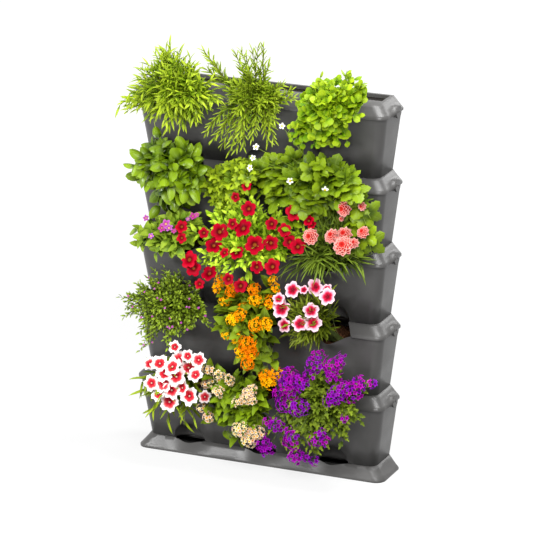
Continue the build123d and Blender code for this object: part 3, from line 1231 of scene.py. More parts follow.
    def _flower(self, heads: list[Head], groups: SharedGroups, body: str) -> Object:
        """Make the piece with the flowers, which rides on a body."""
        bloom = self.bloom
        heap = MeshHeap()
        cups = [bloom.corolla.build(f"{self.node}_flower_{i}", i, self.dice) for i in range(self.tints)]
        middle = self._heart()
        for head in heads:
            if bloom.habit is Habit.CLUSTER:
                self._cluster(heap, cups, head)
            else:
                self._single(heap, cups, middle, head)
        flowers = heap.finish(f"{self.node}_flowers", bloom.finish.build(groups), body)
        bpy.data.batch_remove([*cups, middle])
        return flowers

    def _heart(self) -> Mesh:
        """Make the low dome in the middle of a flower."""
        bm = mapped()
        bmesh.ops.create_icosphere(bm, subdivisions=1, radius=1.0)
        bmesh.ops.scale(bm, verts=bm.verts, vec=(1.0, 1.0, HEART_FLAT))
        heart_cell = ATLAS_SIDE * ATLAS_SIDE - 1
        map_cell(bm, {loop: (0.5 + 0.3 * loop.vert.co.x, 0.5 + 0.3 * loop.vert.co.y)
                      for face in bm.faces for loop in face.loops}, heart_cell)
        return kept(bm, f"{self.node}_heart")

    def _spun(self, way: Vector) -> Vector:
        """A way across another one, turned by chance."""
        spin = way.orthogonal()
        spin.rotate(Matrix.Rotation(self.dice.uniform(0.0, math.tau), 3, way))
        return spin

    def _single(self, heap: MeshHeap, cups: list[Mesh], middle: Mesh, head: Head) -> None:
        """Set one flower, of one or several rings of petals round the dome in its middle."""
        rings = GROWTH.rings if self.bloom.habit is Habit.DOUBLE else (1.0,)
        cup = self.dice.choice(cups)
        for i, share in enumerate(rings):
            lifted = head.place + head.way * (GROWTH.ring_step * i * head.width)
            heap.place(cup, facing(lifted, self._spun(head.way), head.way, 0.5 * head.width * share))
        if self.bloom.heart:
            raised = head.place + head.way * (GROWTH.heart_step * head.width)
            heap.place(middle, facing(raised, self._spun(head.way), head.way,
                                      0.5 * head.width * self.bloom.heart))

    def _cluster(self, heap: MeshHeap, cups: list[Mesh], head: Head) -> None:
        """Set a dome of small flowers."""
        bloom = self.bloom
        side = head.way.orthogonal().normalized()
        count = max(GROWTH.least_cluster, round(bloom.florets * (head.width / bloom.width) ** 2))
        lean = self.dice.randrange(self.tints)
        for i in range(count):
            polar = math.acos(1.0 - GROWTH.dome * (i + 0.5) / count)
            out = side.copy()
            out.rotate(Matrix.Rotation(i * GOLDEN_ANGLE, 3, head.way))
            face = head.way * math.cos(polar) + out * math.sin(polar)
            reach = 0.5 * head.width * self.dice.uniform(*GROWTH.dome_range)
            at = head.place + face * reach - head.way * (GROWTH.dome_sink * head.width)
            face = (face + self.jitter(GROWTH.floret_tumble)).normalized()
            cup = cups[(lean + self.dice.randrange(GROWTH.floret_tints)) % self.tints]
            spun = self._spun(face)
            width = bloom.floret * self.dice.uniform(*GROWTH.floret_range)
            heap.place(cup, facing(at, spun, face, 0.5 * width))


@dataclass(frozen=True)
class MouldedStack:
    """The plastic pieces, as smooth copies of their solids.

    Attributes:
        finish: Their finish.
        crease: Greatest angle that is shaded smooth, in degrees.
    """

    finish: PlasticFinish
    crease: float = 32.0

    def build(self, groups: SharedGroups) -> list[Object]:
        """Dress the tray, the troughs and the collars."""
        material = self.finish.build(groups)
        pieces = [self._copy("base_tray", "base", material)]
        for tier in range(1, TIERS + 1):
            pieces.append(self._copy(f"trough_{tier}", f"tier_{tier}", material))
            pieces.append(self._copy(f"collar_{tier}", f"cover_{tier}", material))
        return pieces

    def _copy(self, node: str, body: str, material: Material) -> Object:
        """Make the piece of one solid."""
        piece = smooth_piece(welded(node), f"{node}_moulding", material, self.crease, body)
        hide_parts(node)
        return piece


@dataclass(frozen=True)
class SoilBeds:
    """The soil in the troughs, with a crumbly surface.

    Attributes:
        finish: Its finish.
        crumb: Size of its mesh's faces, in metres.
        rough: Greatest height of its lumps, in metres.
        inset: How far its mesh keeps inside the solid, in metres.
        lumps: Lumps and crumbs to a metre.
        crumb_share: Height of the crumbs against the lumps.
    """

    finish: SoilFinish
    crumb: float = 0.006
    rough: float = 0.005
    inset: float = 0.0015
    lumps: Pair = (140.0, 330.0)
    crumb_share: float = 0.6

    def build(self, groups: SharedGroups) -> list[Object]:
        """Fill every trough."""
        material = self.finish.build(groups)
        return [self._bed(tier, material) for tier in range(1, TIERS + 1)]

    def _bed(self, tier: int, material: Material) -> Object:
        """Remesh a trough's soil and roughen its surface."""
        node = f"soil_{tier}"
        name = f"{node}_bed"
        piece = in_scene(name, kept(welded(node), name))
        cells = piece.modifiers.new("cells", "REMESH")
        cells.mode = "VOXEL"
        cells.voxel_size = self.crumb
        made = evaluated(piece)
        piece.modifiers.clear()
        piece.data = made
        coarse, fine = self.lumps
        for vert in made.vertices:
            lump = noise.noise(vert.co * coarse) + self.crumb_share * noise.noise(vert.co * fine)
            inward = -self.inset * vert.normal
            vert.co += inward + UP * (self.rough * lump * max(vert.normal.z, 0.0))
        for face in made.polygons:
            face.use_smooth = True
        made.materials.append(material)
        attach(piece, f"tier_{tier}")
        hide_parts(node)
        return piece


@dataclass(frozen=True)
class Lamp:
    """A square soft light.

    Attributes:
        name: Its name.
        place: Where it hangs, in metres.
        aim: What it shines at.
        side: Its width and height, in metres.
        power: Its power, in watts.
    """

    name: str
    place: Point
    aim: Point
    side: float
    power: float

    def build(self) -> None:
        """Hang the light."""
        data = bpy.data.lights.new(self.name, "AREA")
        data.size = self.side
        data.energy = self.power
        lamp = in_scene(self.name, data)
        way = Vector(self.aim) - Vector(self.place)
        lamp.matrix_world = Matrix.Translation(self.place) @ way.to_track_quat("-Z", "Y").to_matrix().to_4x4()


@dataclass(frozen=True)
class Studio:
    """The pale floor and the soft light around the planter.

    Attributes:
        lamps: The lights.
        sky: Strength of the light from all round.
        floor_size: Half width of the floor, in metres.
        floor_colour: Colour of the floor.
        floor_glow: Light that the floor adds where it is seen, near the planter and far from it.
        glow_reach: Distances between which that light changes, in metres.
        floor_drop: How far the floor lies under the planter, in metres.
    """

    lamps: tuple[Lamp, ...]
    sky: float = 0.24
    floor_size: float = 30.0
    floor_colour: Colour = (0.22, 0.22, 0.22)
    floor_glow: Pair = (0.74, 0.97)
    glow_reach: Pair = (0.8, 3.5)
    floor_drop: float = 0.0005

    def build(self) -> None:
        """Set the stage."""
        bpy.context.scene.view_settings.view_transform = "Standard"
        self._world()
        self._floor()
        for lamp in self.lamps:
            lamp.build()

    def _seen(self, sheet: NodeSheet) -> NodeSocket:
        """Share of light that the camera sees straight, in a mirror or through glass."""
        path = sheet.add("ShaderNodeLightPath").outputs
        seen = sheet.math("MAXIMUM", path["Is Camera Ray"], path["Is Glossy Ray"])
        return sheet.math("MAXIMUM", seen, path["Is Transmission Ray"])

    def _world(self) -> None:
        """Light the planter from all round, in front of plain white."""
        world = bpy.data.worlds.new("studio")
        world.use_nodes = True
        bpy.context.scene.world = world
        sheet = NodeSheet(world.node_tree)
        light = sheet.add("ShaderNodeBackground", {"Color": WHITE, "Strength": self.sky}).outputs[0]
        plain = sheet.add("ShaderNodeBackground", {"Color": WHITE}).outputs[0]
        mixed = sheet.add("ShaderNodeMixShader", {"Fac": self._seen(sheet), 1: light, 2: plain}).outputs[0]
        sheet.add("ShaderNodeOutputWorld", {"Surface": mixed})

    def _floor(self) -> None:
        """Lay the floor."""
        bm = bmesh.new()
        bmesh.ops.create_grid(bm, x_segments=1, y_segments=1, size=self.floor_size)
        mesh = kept(bm, "floor")
        material = bpy.data.materials.new("pale_floor")
        material.use_nodes = True
        sheet = NodeSheet(material.node_tree)
        paint = sheet.add("ShaderNodeBsdfDiffuse", {"Color": self.floor_colour}).outputs[0]
        place = sheet.add("ShaderNodeTexCoord").outputs["Object"]
        far = sheet.add("ShaderNodeVectorMath", {0: place}, operation="LENGTH").outputs["Value"]
        spread = sheet.ease(far, *self.glow_reach, *self.floor_glow)
        seen = sheet.math("MULTIPLY", self._seen(sheet), spread)
        glow = sheet.add("ShaderNodeEmission", {"Strength": seen}).outputs[0]
        both = sheet.add("ShaderNodeAddShader", {0: paint, 1: glow}).outputs[0]
        sheet.add("ShaderNodeOutputMaterial", {"Surface": both})
        mesh.materials.append(material)
        floor = in_scene("floor", mesh)
        floor.location.z = -self.floor_drop


def lowest_tier() -> list[Plant]:
    """Plants of the lowest trough, from left to right."""
    green = tone(110, 126, 52)
    fringed = Corolla(steps=6, rings=4, notch=0.3, fringe=0.10, bowl=0.16, ruffle=0.03)
    white = PetalFinish(
        "white_petal", 0.6,
        ((0.0, tone(150, 18, 36)), (0.14, tone(206, 30, 46)), (0.46, tone(220, 62, 66)),
         (0.6, tone(250, 230, 228)), (1.0, tone(252, 246, 244))),
        ((0.0, tone(160, 16, 36)), (0.2, tone(200, 24, 44)), (0.62, tone(226, 96, 100)),
         (0.78, tone(250, 226, 224)), (1.0, tone(252, 246, 244))),
        green, tone(232, 210, 190), 0.06)
    cream = PetalFinish(
        "cream_petal", 0.6,
        ((0.0, tone(226, 150, 24)), (0.24, tone(242, 198, 54)), (0.46, tone(244, 226, 164)),
         (1.0, tone(246, 234, 200))),
        ((0.0, tone(222, 130, 54)), (0.25, tone(236, 176, 92)), (0.45, tone(234, 196, 170)),
         (1.0, tone(238, 206, 188))),
        green, tone(236, 200, 80))
    purple = PetalFinish(
        "purple_petal", 0.5,
        ((0.0, tone(90, 0, 76)), (0.3, tone(146, 2, 138)), (1.0, tone(184, 14, 178))),
        ((0.0, tone(70, 0, 86)), (0.3, tone(114, 4, 144)), (1.0, tone(148, 22, 194))),
        tone(96, 96, 60), tone(140, 30, 130), 0.35)
    return [
        Plant("white_dianthus", 1, -1, LeafShape(Outline.STRAP, 0.14, arch=0.4),
              LeafFinish("white_dianthus_leaf", 0.45, tone(86, 114, 3), tone(160, 181, 33), tone(120, 132, 62),
                         2.0, 0.1, 0.2),
              (0.036, 0.058),
              Patch(((146, 372), (160, 362), (182, 356), (198, 362), (198, 384), (194, 410), (178, 416), (160, 410),
                     (148, 398))),
              34, 5, 55.0, 0.1, 0.3,
              tips=at_px((150, 412), (166, 422), (184, 425), (194, 421), (141, 383), (140, 395), (157, 408)),
              bloom=Bloom(Habit.SINGLE, fringed, white, 0.051, heart=0.1, proud=0.016, leafy=False),
              heads=at_px((160, 364), (173, 367), (189, 368), (199, 360, 0.043), (188, 356, 0.037), (177, 377, 0.057),
                          (152, 383), (164, 384, 0.051), (183, 388), (190, 396, 0.055), (170, 402, 0.055),
                          (159, 394, 0.047), (150, 364, 0.04), (196, 375, 0.045), (175, 347, 0.037), (165, 374, 0.051),
                          (179, 359, 0.044), (172, 390, 0.051), (205, 397, 0.037)),
              seed=11),
        Plant("cream_lantana", 1, 0, LeafShape(Outline.OVATE, 0.66, rows=6, columns=4, teeth=0.14, arch=0.3),
              LeafFinish("cream_lantana_leaf", 0.4, tone(36, 55, 1), tone(128, 157, 16), tone(104, 120, 50)),
              (0.026, 0.042),
              Patch(((204, 378), (214, 370), (228, 374), (240, 364), (254, 372), (264, 388), (268, 398), (264, 408),
                     (258, 420), (262, 434), (256, 442), (246, 447), (238, 450), (226, 448), (214, 438), (204, 430),
                     (200, 418), (200, 406), (203, 394))),
              62, 6, 60.0, 0.25, 0.2,
              bloom=Bloom(Habit.CLUSTER, SMALL_FIVE, cream, 0.034, 16, 0.0128),
              heads=at_px((219, 376, 0.03), (229, 380), (207, 383, 0.028), (218, 391, 0.03), (201, 408, 0.024),
                          (208, 417), (210, 371, 0.024), (250, 391), (238, 401, 0.028), (246, 397, 0.038),
                          (241, 430, 0.044), (257, 432, 0.038), (250, 440, 0.038), (252, 399, 0.024),
                          (205, 369, 0.02)),
              seed=12),
        Plant("purple_verbena", 1, 1, LeafShape(Outline.CUT, 0.62, rows=6, arch=0.3),
              LeafFinish("purple_verbena_leaf", 0.5, tone(52, 75, 2), tone(129, 150, 36), tone(100, 114, 52),
                         3.0, 0.3, 0.15),
              (0.017, 0.028),
              Patch(((284, 392), (300, 380), (312, 368), (330, 372), (352, 393), (366, 398), (371, 411), (370, 424),
                     (356, 436), (346, 450), (335, 446), (322, 454), (312, 460), (298, 455), (284, 460), (272, 455),
                     (268, 446), (270, 436), (280, 428), (292, 422), (296, 412), (284, 404))),
              120, 9, 55.0, 0.35, 0.2,
              bloom=Bloom(Habit.CLUSTER, SMALL_FIVE, purple, 0.048, 19, 0.0146, proud=0.016),
              heads=at_px((288, 375, 0.054), (285, 385, 0.053), (295, 383, 0.048), (283, 403, 0.048),
                          (299, 407, 0.054), (318, 356, 0.036), (314, 364, 0.046), (309, 375, 0.036),
                          (333, 366, 0.055), (339, 360, 0.031), (342, 355, 0.022), (331, 375, 0.036), (352, 391, 0.06),
                          (345, 387, 0.048), (357, 383, 0.043), (372, 384, 0.024), (330, 401, 0.036),
                          (335, 395, 0.048), (344, 418, 0.019), (317, 440, 0.041), (322, 434, 0.031),
                          (325, 442, 0.026), (290, 440, 0.05), (289, 432, 0.026), (276, 426, 0.036), (268, 422, 0.026),
                          (262, 442, 0.043), (267, 449, 0.036), (295, 456, 0.043), (305, 457, 0.029),
                          (314, 461, 0.024), (302, 383, 0.041), (279, 394, 0.036), (292, 394, 0.036)),
              seed=13),
    ]


def second_tier() -> list[Plant]:
    """Plants of the second trough, from left to right."""
    magenta = PetalFinish(
        "magenta_petal", 0.55,
        ((0.0, tone(150, 40, 130)), (1.0, tone(206, 110, 196))),
        ((0.0, tone(140, 40, 120)), (1.0, tone(188, 80, 172))),
        tone(90, 100, 60), tone(140, 40, 120))
    orange = PetalFinish(
        "orange_petal", 0.5,
        ((0.0, tone(222, 84, 0)), (0.3, tone(244, 116, 0)), (1.0, tone(250, 138, 4))),
        ((0.0, tone(236, 136, 0)), (0.3, tone(252, 184, 0)), (1.0, tone(254, 200, 12))),
        tone(104, 120, 54), tone(236, 150, 20), 0.3)
    eyed = PetalFinish(
        "eyed_petal", 0.6,
        ((0.0, tone(120, 4, 30)), (0.2, tone(186, 12, 50)), (0.42, tone(206, 28, 70)),
         (0.62, tone(236, 146, 172)), (1.0, tone(248, 212, 222))),
        ((0.0, tone(110, 4, 28)), (0.3, tone(176, 10, 46)), (0.55, tone(204, 36, 76)),
         (0.74, tone(238, 156, 180)), (1.0, tone(248, 216, 226))),
        tone(112, 136, 72), tone(150, 10, 40), 0.06)
    return [
        Plant("cuphea", 2, -1, LeafShape(Outline.LANCE, 0.40, rows=3, arch=0.15, thickness=0.02),
              LeafFinish("cuphea_leaf", 0.3, tone(46, 69, 5), tone(148, 174, 45), tone(84, 84, 44), 2.0, 0.1, 0.2),
              (0.012, 0.018),
              Patch(((120, 296), (129, 291), (136, 282), (147, 270), (157, 267), (171, 268), (184, 268), (188, 279),
                     (200, 287), (208, 299), (206, 311), (211, 321), (208, 326), (199, 329), (187, 331), (184, 338),
                     (173, 337), (168, 348), (161, 348), (153, 343), (149, 348), (141, 350), (139, 336), (141, 323),
                     (131, 317), (124, 317), (122, 307)), 0.95),
              210, 16, 58.0, 0.3, 0.25, 0.0008, 0.06,
              tips=at_px((119, 297), (123, 318), (139, 333), (139, 352), (146, 345), (168, 349), (211, 329),
                         (205, 318), (152, 268), (163, 265), (136, 283)),
              bloom=Bloom(Habit.SINGLE, Corolla(lobes=6, steps=2, rings=1, notch=0.5, thickness=0.08), magenta,
                          0.0075, proud=0.008, leafy=False, scattered=26),
              seed=21),
        Plant("orange_lantana", 2, 0, LeafShape(Outline.OVATE, 0.68, rows=6, columns=4, teeth=0.14, arch=0.3),
              LeafFinish("orange_lantana_leaf", 0.4, tone(43, 54, 1), tone(131, 157, 24), tone(98, 110, 46)),
              (0.026, 0.044),
              Patch(((213, 285), (222, 281), (236, 292), (250, 287), (262, 283), (276, 279), (285, 285), (281, 296),
                     (279, 310), (277, 322), (271, 335), (262, 340), (256, 350), (262, 364), (276, 368), (276, 378),
                     (262, 382), (250, 376), (240, 374), (236, 362), (233, 350), (225, 345), (215, 339), (212, 331),
                     (217, 322), (213, 314), (217, 302))),
              60, 6, 62.0, 0.2, 0.2,
              bloom=Bloom(Habit.CLUSTER, SMALL_FIVE, orange, 0.034, 17, 0.0128),
              heads=at_px((217, 287), (225, 299), (231, 291, 0.033), (255, 300), (254, 289, 0.033), (272, 280, 0.026),
                          (275, 288, 0.022), (269, 301), (243, 307, 0.037), (240, 314, 0.031), (232, 319, 0.033),
                          (255, 325), (266, 323, 0.033), (247, 344, 0.048), (241, 352, 0.037), (251, 352, 0.037),
                          (247, 362, 0.037), (236, 338, 0.031), (225, 335, 0.022), (264, 375), (268, 380, 0.044),
                          (276, 373, 0.033), (219, 279, 0.024), (229, 284, 0.022)),
              seed=22),
        Plant("pink_dianthus", 2, 1, LeafShape(Outline.STRAP, 0.13, arch=0.35),
              LeafFinish("pink_dianthus_leaf", 0.45, tone(70, 87, 7), tone(131, 145, 36), tone(100, 114, 60),
                         2.0, 0.1, 0.2),
              (0.026, 0.044),
              Patch(((284, 298), (298, 292), (318, 294), (326, 300), (325, 309), (322, 318), (318, 325), (316, 331),
                     (318, 341), (314, 345), (306, 345), (295, 344), (286, 338), (282, 326), (286, 310))),
              80, 9, 45.0, 0.35, 0.2,
              bloom=Bloom(Habit.SINGLE, Corolla(steps=6, rings=4, notch=0.28, fringe=0.06, bowl=0.14, ruffle=0.02),
                          eyed, 0.038, heart=0.08, proud=0.016),
              heads=at_px((293, 290, 0.045), (316, 287, 0.048), (328, 297, 0.047), (282, 309, 0.052),
                          (279, 299, 0.034), (285, 325, 0.04), (300, 324, 0.043), (313, 323, 0.047), (311, 311, 0.043),
                          (304, 290, 0.025), (327, 289, 0.029)),
              seed=23),
    ]


def third_tier() -> list[Plant]:
    """Plants of the third trough, from left to right."""
    violet = PetalFinish(
        "violet_petal", 0.6,
        ((0.0, tone(250, 220, 120)), (0.2, tone(150, 50, 150)), (1.0, tone(186, 116, 200))),
        ((0.0, tone(120, 20, 80)), (0.3, tone(160, 30, 104)), (1.0, tone(176, 54, 132))),
        tone(100, 120, 60), tone(240, 200, 90))
    red = PetalFinish(
        "red_petal", 0.45,
        ((0.0, tone(150, 90, 28)), (0.06, tone(120, 40, 16)), (0.12, tone(84, 0, 8)),
         (0.4, tone(150, 0, 22)), (1.0, tone(186, 0, 36))),
        ((0.0, tone(146, 84, 28)), (0.06, tone(112, 36, 14)), (0.12, tone(76, 0, 8)),
         (0.45, tone(132, 0, 20)), (1.0, tone(166, 0, 32))),
        tone(120, 140, 60), tone(138, 78, 26), 0.25)
    salmon = PetalFinish(
        "salmon_petal", 0.6,
        ((0.0, tone(164, 24, 20)), (0.6, tone(194, 40, 34)), (0.9, tone(204, 52, 46)), (0.985, tone(228, 134, 124)),
         (1.0, tone(244, 186, 176))),
        ((0.0, tone(160, 22, 20)), (0.6, tone(192, 46, 40)), (0.88, tone(206, 60, 54)),
         (0.975, tone(230, 140, 130)), (1.0, tone(244, 190, 180))),
        tone(96, 120, 76), tone(222, 80, 70), 0.0)
    return [
        Plant("pansy", 3, -1, LeafShape(Outline.OVATE, 0.62, rows=6, columns=4, teeth=0.08, arch=0.25),
              LeafFinish("pansy_leaf", 0.36, tone(63, 109, 4), tone(151, 177, 50), tone(104, 124, 60)),
              (0.028, 0.044),
              Patch(((134, 230), (143, 228), (150, 224), (160, 217), (171, 209), (184, 211), (204, 213), (206, 225),
                     (198, 231), (190, 240), (184, 252), (174, 258), (160, 255), (150, 251), (146, 245), (139, 248),
                     (136, 240)), 0.85),
              56, 6, 62.0, 0.35, 0.2,
              tips=at_px((134, 232), (137, 246), (155, 255), (178, 250)),
              bloom=Bloom(Habit.SINGLE, Corolla(steps=3, rings=2, notch=0.4, bowl=0.12), violet, 0.018, heart=0.12,
                          proud=0.014, leafy=False),
              heads=at_px((166, 224, 0.026), (162, 228, 0.022), (169, 228, 0.022), (146, 218), (151, 236), (193, 216),
                          (197, 215, 0.014), (136, 235, 0.01), (174, 231, 0.014), (188, 219, 0.012)),
              seed=31),
        Plant("red_petunia", 3, 0, LeafShape(Outline.OVATE, 0.40, rows=4, arch=0.2),
              LeafFinish("red_petunia_leaf", 0.42, tone(133, 186, 2), tone(207, 237, 62), tone(124, 144, 56)),
              (0.020, 0.034),
              Patch(((200, 228), (208, 206), (228, 197), (243, 193), (262, 197), (280, 201), (296, 210), (303, 232),
                     (303, 245), (296, 255), (284, 261), (278, 270), (268, 268), (258, 268), (248, 276), (240, 281),
                     (226, 280), (212, 278), (200, 281), (192, 274), (189, 262), (197, 250), (199, 240)), 0.94),
              165, 8, 58.0, 0.4, 0.15,
              bloom=Bloom(Habit.SINGLE,
                          Corolla(steps=4, rings=4, notch=0.26, bowl=0.42, curl=0.2, ruffle=0.05, throat=0.05),
                          red, 0.044, heart=0.05, proud=0.018),
              heads=at_px((249, 209, 0.040), (295, 212, 0.048), (272, 224, 0.034), (285, 230, 0.036),
                          (244, 229, 0.050), (220, 232, 0.046), (214, 246, 0.044), (255, 245, 0.050),
                          (237, 253, 0.038), (271, 243, 0.040), (290, 242, 0.036), (298, 247, 0.042),
                          (225, 253, 0.028), (190, 260, 0.047), (194, 268, 0.044), (273, 267, 0.044),
                          (257, 267, 0.034), (210, 274, 0.044), (182, 227, 0.034), (182, 238, 0.028),
                          (247, 186, 0.028), (236, 197, 0.026), (309, 221, 0.03), (229, 279, 0.032), (241, 286, 0.038),
                          (200, 284, 0.028), (204, 233, 0.028), (233, 224, 0.03), (312, 225, 0.024)),
              seed=32),
        Plant("carnation", 3, 1, LeafShape(Outline.STRAP, 0.07, rows=6, arch=0.45, thickness=0.008),
              LeafFinish("carnation_leaf", 0.42, tone(44, 63, 4), tone(120, 143, 42), tone(92, 110, 64),
                         1.0, 0.0, 0.15),
              (0.045, 0.075),
              Patch(((318, 216), (330, 208), (345, 208), (358, 214), (358, 232), (350, 248), (358, 258), (362, 264),
                     (348, 263), (338, 268), (322, 272), (306, 269), (294, 270), (287, 266), (290, 260), (302, 251),
                     (312, 243), (318, 230)), 0.9),
              64, 8, 42.0, 0.25, 0.1,
              tips=at_px((284, 267), (293, 271), (362, 266), (300, 252), (320, 222), (330, 217)),
              bloom=Bloom(Habit.DOUBLE, Corolla(lobes=9, steps=4, rings=3, notch=0.22, fringe=0.1, bowl=0.3,
                                                ruffle=0.12), salmon, 0.036, proud=0.016, leafy=False),
              heads=at_px((345, 208, 0.044), (363, 206, 0.025), (312, 237, 0.044), (333, 237, 0.041),
                          (345, 236, 0.044), (344, 247, 0.053), (364, 233, 0.034), (342, 219, 0.015),
                          (337, 202, 0.014), (354, 244, 0.03)),
              seed=33),
    ]


def fourth_tier() -> list[Plant]:
    """Plants of the fourth trough, from left to right."""
    white = PetalFinish(
        "blossom_petal", 0.55,
        ((0.0, tone(236, 226, 150)), (0.25, tone(250, 250, 238)), (1.0, tone(252, 252, 246))),
        ((0.0, tone(230, 220, 140)), (0.25, tone(248, 248, 238)), (1.0, tone(250, 250, 244))),
        tone(130, 160, 70), tone(238, 190, 40))
    return [
        Plant("basil", 4, -1, LeafShape(Outline.OVAL, 0.66, rows=6, columns=4, cup=-0.55, arch=0.5),
              LeafFinish("basil_leaf", 0.25, tone(30, 63, 0), tone(128, 158, 13), tone(118, 148, 40),
                         6.0, 0.4, 0.3, 0.26),
              (0.034, 0.050),
              Patch(((155, 131), (163, 131), (172, 135), (179, 142), (186, 147), (193, 152), (200, 157), (207, 161),
                     (211, 167), (204, 171), (204, 181), (198, 187), (194, 198), (193, 207), (185, 214), (174, 211),
                     (161, 218), (153, 217), (150, 210), (153, 200), (147, 196), (143, 190), (134, 186), (133, 177),
                     (124, 172), (121, 165), (127, 161), (134, 154), (141, 148), (145, 141), (151, 141)), 0.93),
              66, 5, 66.0, 0.2, 0.25, thick=0.08, seed=41),
        Plant("parsley", 4, 0, LeafShape(Outline.CUT, 0.9, rows=6, arch=0.3, leaflets=3),
              LeafFinish("parsley_leaf", 0.42, tone(62, 99, 2), tone(161, 184, 29), tone(130, 156, 54),
                         4.0, 0.3, 0.3, 0.15),
              (0.022, 0.034),
              Patch(((228, 162), (244, 157), (254, 161), (260, 170), (254, 184), (240, 190), (233, 204), (228, 220),
                     (215, 222), (211, 212), (206, 200), (199, 195), (199, 188), (206, 184), (211, 173), (221, 166))),
              80, 4, 58.0, 0.4, 0.2, seed=42),
        Plant("strawberry", 4, 1,
              LeafShape(Outline.OVAL, 0.74, rows=9, columns=4, teeth=0.26, cup=-0.3, arch=0.3, leaflets=3),
              LeafFinish("strawberry_leaf", 0.32, tone(46, 77, 1), tone(130, 156, 13), tone(138, 160, 60),
                         8.0, 0.6, 0.42, 0.18),
              (0.034, 0.050),
              Patch(((258, 160), (270, 154), (284, 151), (293, 157), (302, 158), (309, 162), (316, 158), (325, 158),
                     (331, 164), (348, 171), (354, 175), (359, 188), (354, 196), (354, 203), (338, 200), (326, 207),
                     (312, 216), (300, 210), (294, 224), (282, 222), (276, 212), (264, 202), (256, 195), (246, 196),
                     (240, 188), (243, 178), (241, 172), (250, 166)), 0.97),
              58, 3, 58.0, 0.4, 0.3, 0.0010,
              tips=at_px((371, 219), (366, 224), (360, 249), (368, 246), (356, 256), (372, 254), (288, 226),
                         (296, 208), (356, 190)),
              bloom=Bloom(Habit.SINGLE, Corolla(steps=3, rings=2, notch=0.45, bowl=0.1), white, 0.020, heart=0.36,
                          proud=0.018, leafy=False),
              heads=at_px((256, 147), (253, 158, 0.016), (250, 168), (247, 180, 0.015), (290, 181), (325, 190, 0.018),
                          (282, 126, 0.016)),
              seed=43),
    ]


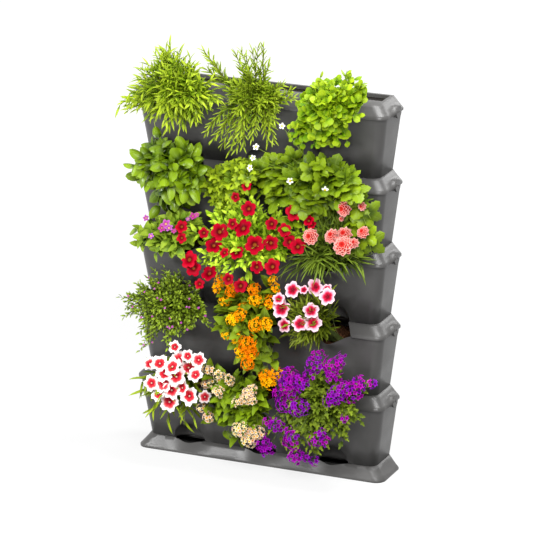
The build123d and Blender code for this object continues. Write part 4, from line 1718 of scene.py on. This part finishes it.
def top_tier() -> list[Plant]:
    """Plants of the top trough, from left to right."""
    return [
        Plant("tarragon", 5, -1, LeafShape(Outline.LANCE, 0.17, rows=4, arch=0.25),
              LeafFinish("tarragon_leaf", 0.4, tone(82, 123, 2), tone(168, 189, 41), tone(124, 140, 48),
                         1.0, 0.0, 0.2),
              (0.024, 0.042),
              Patch(((153, 50), (168, 46), (181, 52), (190, 60), (200, 76), (209, 85), (210, 93), (217, 102),
                     (210, 109), (198, 110), (190, 123), (180, 125), (167, 125), (158, 116), (148, 119), (141, 114),
                     (130, 113), (121, 106), (126, 97), (137, 90), (136, 75), (140, 68), (147, 63)), 0.95),
              115, 13, 44.0, 0.25, 0.25, thick=0.07,
              tips=at_px((169, 44), (161, 49), (179, 51), (147, 64), (155, 53), (190, 57), (193, 66), (119, 106),
                         (127, 112), (138, 77), (131, 92), (168, 126), (182, 126), (196, 122), (198, 116), (210, 82),
                         (213, 102), (219, 100), (142, 69), (154, 119)),
              seed=51),
        Plant("rosemary", 5, 0, LeafShape(Outline.NEEDLE, 0.15, rows=3, arch=0.12, thickness=0.03),
              LeafFinish("rosemary_leaf", 0.4, tone(82, 114, 3), tone(157, 179, 41), tone(108, 98, 52), 1.0, 0.0, 0.2),
              (0.020, 0.031),
              Patch(((230, 84), (238, 66), (250, 60), (262, 68), (270, 80), (282, 88), (290, 97), (286, 106),
                     (275, 111), (262, 113), (246, 114), (232, 110), (228, 98)), 0.97),
              40, 22, 46.0, 0.12, 0.2, 0.0013, 0.07,
              tips=at_px((203, 50), (208, 57), (206, 69), (213, 62), (258, 47), (263, 46), (252, 49), (241, 50),
                         (235, 52), (246, 56), (268, 66), (283, 84), (294, 97), (292, 90), (209, 126), (206, 133),
                         (212, 141), (229, 154), (236, 150), (222, 146), (243, 147), (252, 138), (255, 130),
                         (231, 140), (240, 134), (220, 134), (268, 142), (274, 140), (270, 130), (276, 122),
                         (264, 124)),
              seed=52),
        Plant("oregano", 5, 1, LeafShape(Outline.ROUND, 0.86, rows=5, columns=4, arch=0.2, cup=-0.15),
              LeafFinish("oregano_leaf", 0.38, tone(87, 141, 1), tone(152, 177, 23), tone(146, 176, 60), 4.0, 0.3, 0.2),
              (0.015, 0.028),
              Patch(((305, 86), (314, 81), (321, 76), (328, 77), (340, 73), (347, 72), (357, 77), (364, 83), (365, 92),
                     (365, 101), (358, 104), (356, 112), (351, 118), (347, 130), (349, 138), (345, 145), (337, 145),
                     (328, 144), (313, 150), (301, 150), (291, 146), (285, 139), (283, 130), (290, 126), (295, 120),
                     (294, 111), (301, 103), (300, 91)), 0.97),
              130, 8, 62.0, 0.35, 0.2, 0.0010, 0.06,
              tips=at_px((347, 70), (365, 82), (365, 92), (320, 76), (359, 116), (354, 118), (348, 144), (338, 142)),
              seed=53),
    ]


def main() -> None:
    """Build the stage, the camera and every piece, in order."""
    logging.basicConfig(level=logging.INFO, format="%(name)s: %(message)s")
    view = Viewpoint()
    view.build()
    Studio(lamps=(
        Lamp("right", (1.5, -2.5, 2.6), (0.0, -0.1, 0.5), 1.6, 116.0),
        Lamp("left", (-1.9, -2.45, 1.4), (0.0, -0.1, 0.3), 0.9, 90.0),
        Lamp("top", (0.75, 0.1, 3.0), (0.0, -0.1, 0.5), 1.1, 70.0),
        Lamp("back", (0.9, 2.8, 1.9), (0.0, 0.0, 0.6), 1.5, 26.0),
    )).build()
    groups = SharedGroups()
    plastic = PlasticFinish("slate_plastic", 0.34, tone(75, 74, 73), tone(82, 81, 80))
    soil = SoilFinish("potting_soil", 0.9, tone(58, 36, 24), tone(128, 88, 58))
    pieces = MouldedStack(plastic).build(groups)
    pieces += SoilBeds(soil).build(groups)
    stack = Stack()
    for plant in lowest_tier() + second_tier() + third_tier() + fourth_tier() + top_tier():
        pieces += plant.build(view, stack, groups)
    triangles = 0
    for piece in pieces:
        piece.data.calc_loop_triangles()
        triangles += len(piece.data.loop_triangles)
        log.info("%s: %d triangles", piece.name, len(piece.data.loop_triangles))
    log.info("%d pieces, %d triangles", len(pieces), triangles)


if __name__ == "__main__":
    main()
